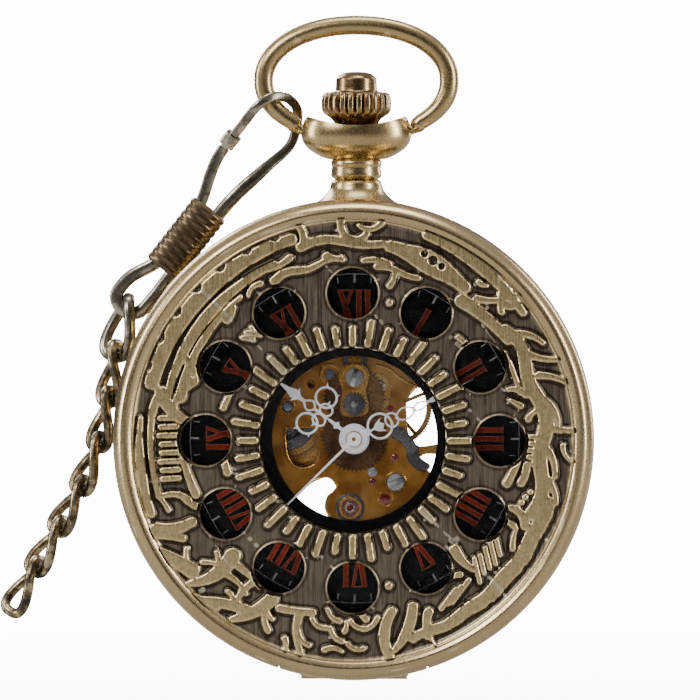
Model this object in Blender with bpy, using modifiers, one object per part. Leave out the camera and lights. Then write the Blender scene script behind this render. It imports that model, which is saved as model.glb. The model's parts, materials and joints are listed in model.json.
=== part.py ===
"""Half-hunter pocket watch with an open-worked lid, a hand-wound movement and a clasp chain.

Every sub-part is its own object. The watch stands upright: +Z is 12 o'clock, +X is 3 o'clock and
the dial faces -Y. Parts are laid out in the dial frame, an empty whose local x is 3 o'clock, local
y is 12 o'clock and local z (called height here) rises from the back glass towards the lid.
All lengths below are millimetres unless they are passed through MM.
"""

from math import atan2, cos, degrees, hypot, pi, radians, sin

import bmesh
import bpy
from mathutils import Vector

MM = 0.001
RING_STEPS = 36
MERGE = 1e-6
GAP = 0.05

# Case
LID_R = 23.5
CASE_R = 22.4
BEZEL_R = 22.2
BACK_GLASS_R = 17.0
LID_WINDOW_R = 8.95
PORTHOLE_R = 2.44
PORTHOLE_RING_R = 14.36
LID_FRONT = 13.9
LID_BACK = 12.95
LID_EDGE = 10.1
BEZEL_FOOT = 9.95
MID_TOP = 9.9
MID_FOOT = 2.25
HINGE_Y = -23.0
HINGE_R = 0.7
HINGE_HALF = 7.1
KNUCKLE_HALF = 2.4

# Winding stem and bow
STEM_H = 5.0
STEM_R = 0.5
CUP_HALF = 5.35
BOW_PIVOT_Y = 30.3
BOW_CENTRE_Y = 35.1
BOW_HALF_WIDTH = 9.15
BOW_HALF_HEIGHT = 5.45
BOW_WIRE_R = 0.92
BOW_POWER = 2.1
BOW_START = -47.0

# Movement
PLATE_R = 16.0
PLATE_FOOT = 7.2
PLATE_TOP = 8.8
BRIDGE_FOOT = 2.5
BRIDGE_TOP = 3.7
BARREL = (-7.0, 1.9)
THIRD = (3.5, 2.9)
ESCAPE = (3.95, -1.9)
PALLET = (1.77, -4.3)
BALANCE = (-0.45, -6.8)
CROWN_WHEEL = (0.0, 9.3)
MINUTE_WHEEL = (0.0, 4.0)
CENTRE = (0.0, 0.0)
CLICK = (-9.9, -5.0)
PILLARS = {
    "pillar_screw_1": (-14.0, 4.6),
    "pillar_screw_2": (-4.6, 14.0),
    "pillar_screw_3": (5.2, 12.6),
    "pillar_screw_4": (8.6, -11.2),
    "pillar_screw_5": (1.2, -14.2),
}
BALANCE_R = 2.35
DIAL_IN = 8.1
DIAL_OUT = 17.5

# Teeth of the wheels and leaves of the pinions
BARREL_TEETH = 48
CENTRE_LEAVES = 8
CENTRE_TEETH = 48
THIRD_LEAVES = 6
THIRD_TEETH = 45
FOURTH_LEAVES = 6
FOURTH_TEETH = 60
ESCAPE_LEAVES = 6
ESCAPE_TEETH = 15
CANNON_LEAVES = 8
MINUTE_TEETH = 24
MINUTE_LEAVES = 6
HOUR_TEETH = 24
RATCHET_TEETH = 30
CROWN_WHEEL_TEETH = 24
WINDING_LEAVES = 13
WINDING_MODULE = 0.335
KNURLS = 22

# Clasp and chain
CLASP = (-16.8, 19.5)
CLASP_TILT = 52.0
CLASP_WIRE = 0.5
LINK_PITCH = 4.6
LINK_WIRE = 1.15
LINK_WIDTH = 4.1
LINK_COUNT = 6


def reset_scene():
    for old in list(bpy.data.objects):
        bpy.data.objects.remove(old, do_unlink=True)


def new_collection(name):
    group = bpy.data.collections.new(name)
    bpy.context.scene.collection.children.link(group)
    return group


reset_scene()
PARTS = new_collection("pocket_watch")
CUTTERS = new_collection("cutters")


def finish(name, colour, roughness, metallic):
    material = bpy.data.materials.new(name)
    material.use_nodes = True
    shader = material.node_tree.nodes["Principled BSDF"]
    shader.inputs["Base Color"].default_value = (*colour, 1.0)
    shader.inputs["Roughness"].default_value = roughness
    shader.inputs["Metallic"].default_value = metallic
    return material


BRONZE = finish("antique_bronze", (0.42, 0.33, 0.20), 0.35, 1.0)
GUNMETAL = finish("aged_chain_metal", (0.30, 0.27, 0.22), 0.35, 1.0)
GILT = finish("gilt_plate", (0.72, 0.42, 0.16), 0.38, 1.0)
GILT_WHEEL = finish("gilt_wheel", (0.80, 0.56, 0.25), 0.30, 1.0)
STEEL = finish("polished_steel", (0.55, 0.55, 0.56), 0.25, 1.0)
DARK_STEEL = finish("spring_steel", (0.16, 0.16, 0.19), 0.30, 1.0)
DIAL_BLACK = finish("dial_enamel", (0.012, 0.012, 0.014), 0.30, 0.0)
HAND_SILVER = finish("hand_silver", (0.86, 0.86, 0.88), 0.30, 1.0)
GLASS = finish("mineral_glass", (0.90, 0.93, 0.94), 0.05, 0.0)
RUBY = finish("ruby", (0.45, 0.01, 0.05), 0.10, 0.0)


def empty(name, location=(0, 0, 0), parent=None, rotation=(0, 0, 0)):
    holder = bpy.data.objects.new(name, None)
    holder.location = Vector(location) * MM
    holder.rotation_euler = rotation
    holder.parent = parent
    holder.empty_display_size = 0.002
    PARTS.objects.link(holder)
    return holder


DIAL = empty("dial_frame", rotation=(pi / 2, 0, 0))

# Rotations that point a part's own z axis along a dial-frame axis
ALONG_H = (0, 0, 0)
ALONG_Y = (-pi / 2, 0, 0)
ALONG_X = (0, pi / 2, 0)
# Rotation that lays a 2D outline in the y-height plane, extruded along x
SIDEWAYS = (pi / 2, 0, pi / 2)


def place(item, location, rotation, parent, group):
    item.location = Vector(location) * MM
    item.rotation_euler = rotation
    item.parent = parent
    group.objects.link(item)
    if group is CUTTERS:
        item.hide_render = True
        item.display_type = "WIRE"
    return item


def smooth(mesh, angle=35):
    mesh.shade_smooth()
    mesh.set_sharp_from_angle(angle=radians(angle))


def turned(name, profile, material=None, at=(0, 0, 0), rotation=ALONG_H, steps=24, parent=DIAL,
           group=PARTS):
    """A profile of (radius, height) points, run down its outer side, turned about its own z axis."""
    closed = all(radius > 0 for radius, _ in profile)
    vertices = [(radius * MM, 0, height * MM) for radius, height in profile]
    last = len(vertices) - 1
    edges = [(i, i + 1) for i in range(last)]
    if closed:
        edges.append((last, 0))
    mesh = bpy.data.meshes.new(name)
    mesh.from_pydata(vertices, edges, [])
    item = bpy.data.objects.new(name, mesh)
    screw = item.modifiers.new("turn", "SCREW")
    screw.angle = 2 * pi
    screw.steps = steps
    screw.render_steps = steps
    screw.use_merge_vertices = True
    screw.merge_threshold = MERGE
    screw.use_smooth_shade = steps > 8
    if material:
        mesh.materials.append(material)
    return place(item, at, rotation, parent, group)


def ring(r_in, r_out, foot, top):
    return [(r_out, top), (r_out, foot), (r_in, foot), (r_in, top)]


def disc(radius, foot, top):
    return [(0, top), (radius, top), (radius, foot), (0, foot)]


def spindle(*stages):
    """The profile of a solid shaft from (radius, foot, top) stages given top first."""
    points = [(0, stages[0][2])]
    for radius, foot, top in stages:
        points += [(radius, top), (radius, foot)]
    return points + [(0, stages[-1][1])]


def tube(bore, *stages):
    """The profile of a hollow shaft from (radius, foot, top) stages given top first."""
    points = []
    for radius, foot, top in stages:
        points += [(radius, top), (radius, foot)]
    return points + [(bore, stages[-1][1]), (bore, stages[0][2])]


def evaluated_mesh(item, name, material):
    """The item's evaluated mesh with its loose caps welded."""
    bpy.context.view_layer.update()
    depsgraph = bpy.context.evaluated_depsgraph_get()
    mesh = bpy.data.meshes.new_from_object(item.evaluated_get(depsgraph))
    mesh.name = name
    weld(mesh)
    mesh.materials.clear()
    if material:
        mesh.materials.append(material)
    return mesh


def weld(mesh):
    shape = bmesh.new()
    shape.from_mesh(mesh)
    bmesh.ops.remove_doubles(shape, verts=shape.verts, dist=MERGE)
    bmesh.ops.recalc_face_normals(shape, faces=shape.faces)
    shape.to_mesh(mesh)
    shape.free()


def solidified(curve_item, material):
    """A curve object made into a closed mesh object in the same place."""
    name = curve_item.name
    mesh = evaluated_mesh(curve_item, name, material)
    smooth(mesh)
    location, rotation = curve_item.location.copy(), curve_item.rotation_euler.copy()
    parent, group = curve_item.parent, curve_item.users_collection[0]
    bpy.data.objects.remove(curve_item, do_unlink=True)
    item = bpy.data.objects.new(name, mesh)
    item.location = location
    item.rotation_euler = rotation
    item.parent = parent
    group.objects.link(item)
    if group is CUTTERS:
        item.hide_render = True
        item.display_type = "WIRE"
    return item


def flat(name, loops, foot, top, material=None, at=(0, 0), parent=DIAL, group=PARTS,
         rotation=ALONG_H, shift=(0, 0, 0)):
    """A flat piece: the first loop is its outline and the others are its openings."""
    curve = bpy.data.curves.new(name, "CURVE")
    curve.dimensions = "2D"
    curve.fill_mode = "BOTH"
    curve.extrude = (top - foot) / 2 * MM
    for loop in loops:
        spline = curve.splines.new("POLY")
        spline.points.add(len(loop) - 1)
        for point, (x, y) in zip(spline.points, loop):
            point.co = (x * MM, y * MM, 0, 1)
        spline.use_cyclic_u = True
    item = bpy.data.objects.new(name, curve)
    middle = (foot + top) / 2
    location = (at[0], at[1], middle) if rotation == ALONG_H else shift
    place(item, location, rotation, parent, group)
    return solidified(item, material)


def wire(name, points, radius, material=None, at=(0, 0, 0), parent=DIAL, cyclic=False, sides=1,
         kind="POLY", resolution=2, radii=None, group=PARTS):
    """A round wire along 3D points; sides is the bevel resolution."""
    curve = bpy.data.curves.new(name, "CURVE")
    curve.dimensions = "3D"
    curve.bevel_depth = radius * MM
    curve.bevel_resolution = sides
    curve.use_fill_caps = not cyclic
    curve.resolution_u = resolution
    spline = curve.splines.new(kind)
    if kind == "BEZIER":
        spline.bezier_points.add(len(points) - 1)
        for knot, point in zip(spline.bezier_points, points):
            knot.co = Vector(point) * MM
            knot.handle_left_type = "AUTO"
            knot.handle_right_type = "AUTO"
    else:
        spline.points.add(len(points) - 1)
        for index, (knot, point) in enumerate(zip(spline.points, points)):
            knot.co = (*(Vector(point) * MM), 1)
            knot.radius = radii[index] if radii else 1.0
    spline.use_cyclic_u = cyclic
    item = bpy.data.objects.new(name, curve)
    place(item, at, ALONG_H, parent, group)
    return solidified(item, material)


def box(name, low, high, parent=DIAL, group=CUTTERS, material=None):
    size = [high[i] - low[i] for i in range(3)]
    outline = [(-size[0] / 2, -size[1] / 2), (size[0] / 2, -size[1] / 2),
               (size[0] / 2, size[1] / 2), (-size[0] / 2, size[1] / 2)]
    middle = ((low[0] + high[0]) / 2, (low[1] + high[1]) / 2)
    return flat(name, [outline], low[2], high[2], material, at=middle, parent=parent, group=group)


def boolean(target, tool, operation):
    modifier = target.modifiers.new(tool.name, "BOOLEAN")
    modifier.operation = operation
    modifier.solver = "EXACT"
    modifier.object = tool


def cut(target, *tools):
    for tool in tools:
        boolean(target, tool, "DIFFERENCE")


def join(target, *tools):
    for tool in tools:
        boolean(target, tool, "UNION")


def rod_tool(name, radius, start, end, rotation, at, steps=12, parent=DIAL):
    """A helper cylinder from start to end along its own z axis."""
    return turned(name, disc(radius, start, end), at=at, rotation=rotation, steps=steps,
                  parent=parent, group=CUTTERS)


# Flat outlines


def circle(radius, count=12, at=(0, 0)):
    steps = [2 * pi * i / count for i in range(count)]
    return [(at[0] + radius * cos(a), at[1] + radius * sin(a)) for a in steps]


def sector(r_in, r_out, start, end, count=4):
    """A ring sector between two angles in degrees."""
    outer = [radians(start + (end - start) * i / count) for i in range(count + 1)]
    points = [(r_out * cos(a), r_out * sin(a)) for a in outer]
    return points + [(r_in * cos(a), r_in * sin(a)) for a in reversed(outer)]


def capsule(length, r_start, r_end, angle=0, count=5):
    """A rounded bar from the origin to a point at the given length and angle."""
    turn = radians(angle)
    points = []
    for i in range(count + 1):
        a = turn + pi / 2 + pi * i / count
        points.append((r_start * cos(a), r_start * sin(a)))
    for i in range(count + 1):
        a = turn - pi / 2 + pi * i / count
        points.append((length * cos(turn) + r_end * cos(a), length * sin(turn) + r_end * sin(a)))
    return points


def zigzag(teeth, module, phase=0.0, addendum=0.85, dedendum=1.05):
    """A fine wheel outline with one point on each tip and one in each root."""
    pitch = 2 * pi / teeth
    points = []
    for i in range(teeth):
        for share, radius in ((0, teeth / 2 + addendum), (0.5, teeth / 2 - dedendum)):
            a = phase + (i + share) * pitch
            points.append((radius * module * cos(a), radius * module * sin(a)))
    return points


def leaves(teeth, module, phase=0.0, addendum=0.8, dedendum=1.15):
    """A pinion outline with flat tips and flat roots."""
    pitch = 2 * pi / teeth
    corners = ((-0.28, -dedendum), (-0.12, addendum), (0.12, addendum), (0.28, -dedendum))
    points = []
    for i in range(teeth):
        for share, rise in corners:
            a = phase + (i + share) * pitch
            points.append(((teeth / 2 + rise) * module * cos(a), (teeth / 2 + rise) * module * sin(a)))
    return points


def spokes(hub, rim, count, width, turn=0.0):
    """The openings between a wheel's spokes."""
    windows = []
    for i in range(count):
        middle = turn + 2 * pi * (i + 0.5) / count
        inner = pi / count - width / 2 / hub
        outer = pi / count - width / 2 / rim
        arc = [middle - outer + 2 * outer * k / 3 for k in range(4)]
        window = [(rim * cos(a), rim * sin(a)) for a in arc]
        window += [(hub * cos(middle + inner), hub * sin(middle + inner)),
                   (hub * cos(middle - inner), hub * sin(middle - inner))]
        windows.append(window)
    return windows


def meshed_phase(wheel_at, wheel_teeth, wheel_phase, other_at, other_teeth):
    """The phase that puts a tooth gap of the second wheel against a tooth of the first."""
    line = atan2(other_at[1] - wheel_at[1], other_at[0] - wheel_at[0])
    turned_by = ((wheel_phase - line) / (2 * pi / wheel_teeth)) % 1.0
    return line + pi + 2 * pi / other_teeth * (0.5 - turned_by)


def module_for(first, second, teeth):
    """The tooth module that fills the distance between two centres."""
    return 2 * hypot(second[0] - first[0], second[1] - first[1]) / teeth


# How far each wheel is turned at rest so that its teeth fall between its neighbour's
CENTRE_PHASE = 0.1
CANNON_PHASE = 0.0
BARREL_PHASE = meshed_phase(CENTRE, CENTRE_LEAVES, CENTRE_PHASE, BARREL, BARREL_TEETH)
THIRD_PHASE = meshed_phase(CENTRE, CENTRE_TEETH, CENTRE_PHASE, THIRD, THIRD_LEAVES)
FOURTH_PHASE = meshed_phase(THIRD, THIRD_TEETH, THIRD_PHASE, CENTRE, FOURTH_LEAVES)
ESCAPE_PHASE = meshed_phase(CENTRE, FOURTH_TEETH, FOURTH_PHASE, ESCAPE, ESCAPE_LEAVES)
MINUTE_PHASE = meshed_phase(CENTRE, CANNON_LEAVES, CANNON_PHASE, MINUTE_WHEEL, MINUTE_TEETH)
HOUR_PHASE = meshed_phase(MINUTE_WHEEL, MINUTE_LEAVES, 0.0, CENTRE, HOUR_TEETH)
RATCHET_PHASE = meshed_phase(CROWN_WHEEL, CROWN_WHEEL_TEETH, 0.0, BARREL, RATCHET_TEETH)

# Tooth modules, each shared by a wheel and the pinion it turns
BARREL_MODULE = module_for(CENTRE, BARREL, CENTRE_LEAVES + BARREL_TEETH)
CENTRE_MODULE = module_for(CENTRE, THIRD, CENTRE_TEETH + THIRD_LEAVES)
THIRD_MODULE = module_for(THIRD, CENTRE, THIRD_TEETH + FOURTH_LEAVES)
FOURTH_MODULE = module_for(CENTRE, ESCAPE, FOURTH_TEETH + ESCAPE_LEAVES)
MINUTE_MODULE = module_for(CENTRE, MINUTE_WHEEL, CANNON_LEAVES + MINUTE_TEETH)
HOUR_MODULE = module_for(MINUTE_WHEEL, CENTRE, MINUTE_LEAVES + HOUR_TEETH)
RATCHET_MODULE = module_for(CROWN_WHEEL, BARREL, CROWN_WHEEL_TEETH + RATCHET_TEETH)

# Case


def back_glass():
    turned("back_glass", disc(BACK_GLASS_R, 0, 1.2), GLASS, steps=RING_STEPS)


def back_bezel():
    seat = BACK_GLASS_R + GAP
    profile = [(22.0, 2.2), (21.2, 0.8), (19.6, 0), (seat, 0), (seat, 1.25), (16.3, 1.25),
               (16.3, 2.2)]
    turned("back_bezel", profile, BRONZE, steps=RING_STEPS)


def hinge_rod(name, radius, low, high, parent=DIAL):
    at = (0, HINGE_Y, MID_TOP) if parent is DIAL else (0, 0, 0)
    return rod_tool(name, radius, low, high, ALONG_X, at, parent=parent)


def mid_case():
    profile = [(21.9, MID_TOP), (CASE_R, 9.0), (CASE_R, 3.2), (21.9, MID_FOOT), (18.6, MID_FOOT),
               (18.6, MID_TOP)]
    item = turned("mid_case", profile, BRONZE, steps=RING_STEPS)
    cut(item, box("catch_room", (-2.3, 17, 8.85), (2.3, 24, 11)))
    cut(item, rod_tool("stem_bore", 0.9, 15, 26, ALONG_Y, (0, 0, STEM_H)))
    half = KNUCKLE_HALF + 0.06
    cut(item, box("lid_knuckle_room", (-half, -25, 9.05), (half, -22.0, 11)))
    for side in (-1, 1):
        ends = sorted((side * (KNUCKLE_HALF + 0.1), side * HINGE_HALF))
        block = box(f"knuckle_block_{side}", (ends[0] + 0.1, -23.2, 9.35),
                    (ends[1] - 0.1, -20.5, 9.8))
        join(item, block, hinge_rod(f"knuckle_{side}", HINGE_R, *ends))
    cut(item, hinge_rod("pin_bore", 0.4, -8, 8))


def front_bezel():
    profile = [(20.7, 12.3), (BEZEL_R, 11.2), (BEZEL_R, BEZEL_FOOT), (18.7, BEZEL_FOOT),
               (18.7, 11.35), (19.95, 11.35), (19.95, 12.3)]
    item = turned("front_bezel", profile, BRONZE, steps=RING_STEPS)
    cut(item, box("hook_room", (-2.3, 21.65, 9.0), (2.3, 23.5, 10.8)))


def crystal():
    turned("crystal", disc(19.9, 11.4, 12.2), GLASS, steps=RING_STEPS)


def movement_ring():
    turned("movement_ring", ring(PLATE_R + GAP, 18.5, 6.2, PLATE_TOP), GILT, steps=RING_STEPS)


def dial_ring():
    turned("dial_ring", ring(DIAL_IN, DIAL_OUT, 8.85, 9.2), DIAL_BLACK, steps=RING_STEPS)


def lid_hinge_pin():
    turned("lid_hinge_pin", disc(0.3, -HINGE_HALF, HINGE_HALF), STEEL, at=(0, HINGE_Y, MID_TOP),
           rotation=ALONG_X, steps=12)


def lid():
    axis = empty("lid_axis", (0, HINGE_Y, MID_TOP), DIAL)
    shift = (0, -HINGE_Y, -MID_TOP)
    profile = [(22.3, LID_FRONT), (23.2, 13.3), (LID_R, 12.4), (LID_R, LID_EDGE),
               (22.75, LID_EDGE), (22.75, 12.4), (22.2, LID_BACK), (LID_WINDOW_R, LID_BACK),
               (LID_WINDOW_R, LID_FRONT)]
    item = turned("lid", profile, BRONZE, at=shift, steps=RING_STEPS, parent=axis)
    for hour in range(12):
        angle = radians(30 * hour)
        spot = (PORTHOLE_RING_R * cos(angle), PORTHOLE_RING_R * sin(angle) - HINGE_Y, -MID_TOP)
        twist = (0, 0, angle + pi / 10)
        cut(item, rod_tool(f"porthole_{hour}", PORTHOLE_R, 12, 15, twist, spot, 10, axis))
    for side in (-1, 1):
        ends = sorted((side * (KNUCKLE_HALF + 0.05), side * (HINGE_HALF + 0.1)))
        cut(item, box(f"hinge_room_{side}", (ends[0], -2, -1), (ends[1], 1.6, 0.85), axis))
    join(item, hinge_rod("lid_knuckle", HINGE_R, -KNUCKLE_HALF, KNUCKLE_HALF, axis))
    cut(item, hinge_rod("lid_pin_bore", 0.4, -8, 8, axis))


def lid_catch():
    hook = [(18.9, 9.0), (22.3, 9.0), (22.55, 9.3), (22.55, 10.5), (22.35, 10.6), (22.3, 9.7),
            (18.9, 9.7)]
    slide = empty("lid_catch_slide", (0, 0, 0), DIAL)
    flat("lid_catch", [hook], -2.1, 2.1, STEEL, rotation=SIDEWAYS, parent=slide)


def case_parts():
    back_glass()
    back_bezel()
    mid_case()
    front_bezel()
    crystal()
    movement_ring()
    dial_ring()
    lid_hinge_pin()
    lid()
    lid_catch()


# Pendant, bow and crown


def pendant():
    """The neck and the boat-shaped cup that carries the bow; its length lies along y."""
    neck = [(0, 28.4), (2.2, 28.4), (2.0, 27.2), (2.55, 26.7), (2.55, 25.6), (2.15, 25.25),
            (2.6, 24.7), (2.65, 23.9), (2.95, 23.3), (2.95, 22.6), (0, 22.6)]
    item = turned("pendant", neck, BRONZE, at=(0, 0, STEM_H), rotation=ALONG_Y, steps=16)
    bowl = [(0, 31.2), (3.6, 31.2), (4.6, 31.75), (CUP_HALF, 31.3), (5.0, 29.9), (3.9, 28.2),
            (2.3, 27.1), (0, 27.1)]
    cup = turned("cup_body", bowl, at=(0, 0, 0), rotation=ALONG_H, steps=20, group=CUTTERS)
    mesh = evaluated_mesh(cup, "pendant_cup", None)
    bpy.data.objects.remove(cup, do_unlink=True)
    for vertex in mesh.vertices:
        vertex.co.y *= 0.6
    cup = bpy.data.objects.new("pendant_cup", mesh)
    place(cup, (0, 0, STEM_H), ALONG_Y, DIAL, CUTTERS)
    join(item, cup)
    saddle = rod_tool("saddle", 5.0, -5, 5, ALONG_H, (0, 35.4, STEM_H), 24)
    cut(item, saddle)
    cut(item, rod_tool("pendant_bore", 0.9, 20, 34, ALONG_Y, (0, 0, STEM_H)))
    for side in (-1, 1):
        ends = sorted((side * 3.5, side * 7))
        cut(item, rod_tool(f"bow_bore_{side}", 0.62, *ends, ALONG_X, (0, BOW_PIVOT_Y, STEM_H)))


def bow():
    """A wide oval wire, thinner where its ends turn into the pendant cup."""
    axis = empty("bow_axis", (0, BOW_PIVOT_Y, STEM_H), DIAL)
    steps = 12
    arc = []
    for i in range(steps + 1):
        a = radians(BOW_START + (90 - BOW_START) * i / steps)
        across = BOW_HALF_WIDTH * abs(cos(a)) ** (2 / BOW_POWER)
        rise = BOW_HALF_HEIGHT * abs(sin(a)) ** (2 / BOW_POWER)
        arc.append((across, BOW_CENTRE_Y - BOW_PIVOT_Y + (rise if a > 0 else -rise)))
    right = [(4.3, 0.0), (5.45, 0.0), (5.8, 0.15)] + arc
    sizes = [0.52, 0.52, 0.68, 0.85] + [1.0] * steps
    left = [(-x, y) for x, y in reversed(right[:-1])]
    points = [(x, y, 0) for x, y in right + left]
    wire("bow", points, BOW_WIRE_R, BRONZE, parent=axis, radii=sizes + sizes[-2::-1])


def crown():
    pull = empty("crown_slide", (0, 0, STEM_H), DIAL)
    body = [(0, 35.9), (1.2, 35.85), (1.95, 35.3), (2.1, 34.0), (2.9, 33.9), (3.1, 33.6),
            (3.1, 32.4), (2.3, 31.5), (1.2, 31.1), (0, 31.1)]
    item = turned("crown", body, BRONZE, rotation=ALONG_Y, steps=KNURLS, parent=pull)
    rim = []
    for i in range(KNURLS):
        for share, radius in ((0, 3.4), (0.5, 2.95)):
            a = 2 * pi * (i + share + 0.2) / KNURLS
            rim.append((radius * cos(a), radius * sin(a)))
    grip = flat("crown_grip", [rim], 32.25, 33.7, parent=pull, group=CUTTERS)
    grip.location = (0, 32.975 * MM, 0)
    grip.rotation_euler = ALONG_Y
    join(item, grip)
    cut(item, rod_tool("crown_socket", 0.6, 30, 34.5, ALONG_Y, (0, 0, 0), 10, pull))
    shaft = spindle((STEM_R, 8.6, 34.4))
    turned("winding_stem", shaft, STEEL, rotation=ALONG_Y, steps=10, parent=pull)


def winding_shaft():
    axis = empty("winding_axis", (0, 0, STEM_H), DIAL)
    clutch = tube(0.6, (1.2, 11.3, 12.2), (0.85, 10.8, 11.3), (1.2, 10.0, 10.8))
    turned("sliding_clutch", clutch, STEEL, rotation=ALONG_Y, steps=14, parent=axis)
    outline = leaves(WINDING_LEAVES, WINDING_MODULE)
    pinion = flat("winding_pinion", [outline, circle(0.6, 10)], -0.8, 0.8, STEEL, parent=axis)
    pinion.location = (0, 13.3 * MM, 0)
    pinion.rotation_euler = ALONG_Y


def setting_lever():
    axis = empty("setting_lever_axis", (3.4, 10.3, 0), DIAL)
    shape = [(-0.5, -0.6), (0.6, -0.5), (0.8, 0.5), (0.2, 0.9), (-2.6, 1.3), (-2.9, 0.9),
             (-2.6, 0.6), (-0.5, 0.4)]
    flat("setting_lever", [shape], 6.35, 6.8, STEEL, parent=axis)


def pendant_parts():
    pendant()
    bow()
    crown()
    winding_shaft()
    setting_lever()


# Movement frame


def pivot_holes(*spots, radius=0.28):
    return [circle(radius, 8, at) for at in spots]


def main_plate():
    right_window = sector(5.3, 10.5, -20, 44, 4)
    lower_window = [(-2.1, -4.0), (-4.2, -4.4), (-6.6, -6.8), (-5.4, -8.9), (-2.6, -9.6),
                    (-1.5, -8.9), (-2.3, -7.8), (-2.75, -6.9), (-2.5, -5.8), (-1.8, -4.9)]
    barrel_window = [(-3.7, 1.1), (-6.7, 1.1), (-6.8, -0.6), (-6.2, -2.3), (-5.2, -2.9),
                     (-3.6, -2.8), (-3.9, -1.2)]
    keyless_room = [(-1.5, 12.2), (1.5, 12.2), (1.5, 14.5), (-1.5, 14.5)]
    loops = [circle(PLATE_R, RING_STEPS), right_window, lower_window, barrel_window, keyless_room,
             circle(0.75, 12), circle(0.55, 10, BARREL), circle(0.45, 8, MINUTE_WHEEL)]
    loops += pivot_holes(THIRD, ESCAPE, PALLET, BALANCE)
    loops += [circle(0.5, 8, at) for at in PILLARS.values()]
    flat("main_plate", loops, PLATE_FOOT, PLATE_TOP, GILT)


def barrel_bridge():
    edge = [(15.8 * cos(radians(a)), 15.8 * sin(radians(a))) for a in range(74, 215, 14)]
    inner = [(-8.0, -6.6), (-7.0, -4.6), (-2.2, -2.9), (-1.75, 1.0), (-0.6, 3.6), (2.1, 6.6)]
    keyless_room = [(-2.4, 12.2), (2.4, 12.2), (2.4, 14.5), (-2.4, 14.5)]
    loops = [edge + inner, keyless_room, circle(1.15, 12, BARREL), circle(0.7, 8, CROWN_WHEEL),
             circle(0.4, 8, CLICK)]
    loops += [circle(0.5, 8, PILLARS[f"pillar_screw_{i}"]) for i in (1, 2)]
    flat("barrel_bridge", loops, BRIDGE_FOOT, BRIDGE_TOP, GILT)


def train_bridge():
    outline = [(4.3, 14.6), (7.6, 13.4), (6.3, 8.0), (4.9, 4.3), (4.75, 1.2), (5.0, -2.4),
               (5.8, -6.4), (10.9, -10.8), (7.4, -13.4), (3.0, -7.4), (0.9, -4.7), (-1.3, -2.3),
               (-1.3, 1.2), (0.6, 3.9), (2.8, 6.4)]
    loops = [outline] + pivot_holes(CENTRE, THIRD, ESCAPE, PALLET)
    loops += [circle(0.5, 8, PILLARS[f"pillar_screw_{i}"]) for i in (3, 4)]
    flat("train_bridge", loops, BRIDGE_FOOT, BRIDGE_TOP, GILT)


def balance_cock():
    angle = degrees(atan2(-14.2 - BALANCE[1], 1.2 - BALANCE[0]))
    length = hypot(1.2 - BALANCE[0], -14.2 - BALANCE[1])
    arm = capsule(length, 1.35, 1.5, angle)
    foot = (length * cos(radians(angle)), length * sin(radians(angle)))
    loops = [arm, circle(0.28, 8), circle(0.5, 8, foot)]
    flat("balance_cock", loops, BRIDGE_FOOT, BRIDGE_TOP, GILT, at=BALANCE)


def pillar_screws():
    for name, (x, y) in PILLARS.items():
        stages = spindle((0.4, 7.15, 8.4), (0.8, 3.75, 7.15), (0.42, 2.45, 3.75),
                         (0.85, 2.0, 2.45))
        turned(name, stages, STEEL, at=(x, y, 0), steps=10)


def balance_jewel():
    profile = [(1.2, 9.2), (1.2, 8.85), (0.35, 8.85), (0.35, 9.05), (0.85, 9.2)]
    turned("balance_jewel", profile, RUBY, at=(*BALANCE, 0), steps=16)


def click_spring():
    points = []
    for i in range(9):
        a = radians(196 + 7 * i)
        points.append((BARREL[0] + 7.6 * cos(a), BARREL[1] + 7.6 * sin(a), 2.12))
    points = [p for p in points if hypot(p[0] - CLICK[0], p[1] - CLICK[1]) > 1.3]
    wire("click_spring", points, 0.16, DARK_STEEL, sides=0)


def movement_frame():
    main_plate()
    barrel_bridge()
    train_bridge()
    balance_cock()
    pillar_screws()
    balance_jewel()
    click_spring()


# Power and winding


def barrel():
    axis = empty("barrel_axis", (*BARREL, 0), DIAL)
    teeth = zigzag(BARREL_TEETH, BARREL_MODULE, BARREL_PHASE)
    loops = [teeth, circle(1.15, 10)] + spokes(2.0, 5.2, 4, 1.0, 0.3)
    flat("barrel_wheel", loops, 5.8, 6.2, GILT_WHEEL, parent=axis)
    cup = [(5.9, 5.75), (5.9, 4.5), (1.15, 4.5), (1.15, 4.7), (5.6, 4.7), (5.6, 5.75)]
    turned("barrel_drum", cup, GILT_WHEEL, steps=24, parent=axis)
    coil = [(r * cos(a), r * sin(a)) for r, a in coil_points(1.5, 5.3, 4.5, 13)]
    inner = [(r * cos(a), r * sin(a)) for r, a in coil_points(1.3, 5.1, 4.5, 13)]
    flat("mainspring", [coil + list(reversed(inner))], 4.8, 5.7, DARK_STEEL, parent=axis)


def coil_points(r_start, r_end, turns, per_turn):
    count = int(turns * per_turn)
    return [(r_start + (r_end - r_start) * i / count, 2 * pi * i / per_turn)
            for i in range(count + 1)]


def ratchet():
    axis = empty("ratchet_axis", (*BARREL, 0), DIAL)
    stages = spindle((0.45, 7.0, 8.4), (1.0, 2.35, 7.0), (0.75, 1.85, 2.35), (1.2, 1.5, 1.85))
    turned("barrel_arbor", stages, STEEL, steps=14, parent=axis)
    teeth = zigzag(RATCHET_TEETH, RATCHET_MODULE, RATCHET_PHASE)
    flat("ratchet_wheel", [teeth, circle(0.8, 12)], 1.9, 2.3, STEEL, parent=axis)
    crown_axis = empty("crown_wheel_axis", (*CROWN_WHEEL, 0), DIAL)
    teeth = zigzag(CROWN_WHEEL_TEETH, RATCHET_MODULE)
    flat("crown_wheel", [teeth, circle(0.75, 12)], 1.9, 2.3, STEEL, parent=crown_axis)
    stages = spindle((0.62, 1.85, 3.4), (1.5, 1.5, 1.85))
    turned("crown_wheel_screw", stages, STEEL, at=(*CROWN_WHEEL, 0), steps=14)


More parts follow.
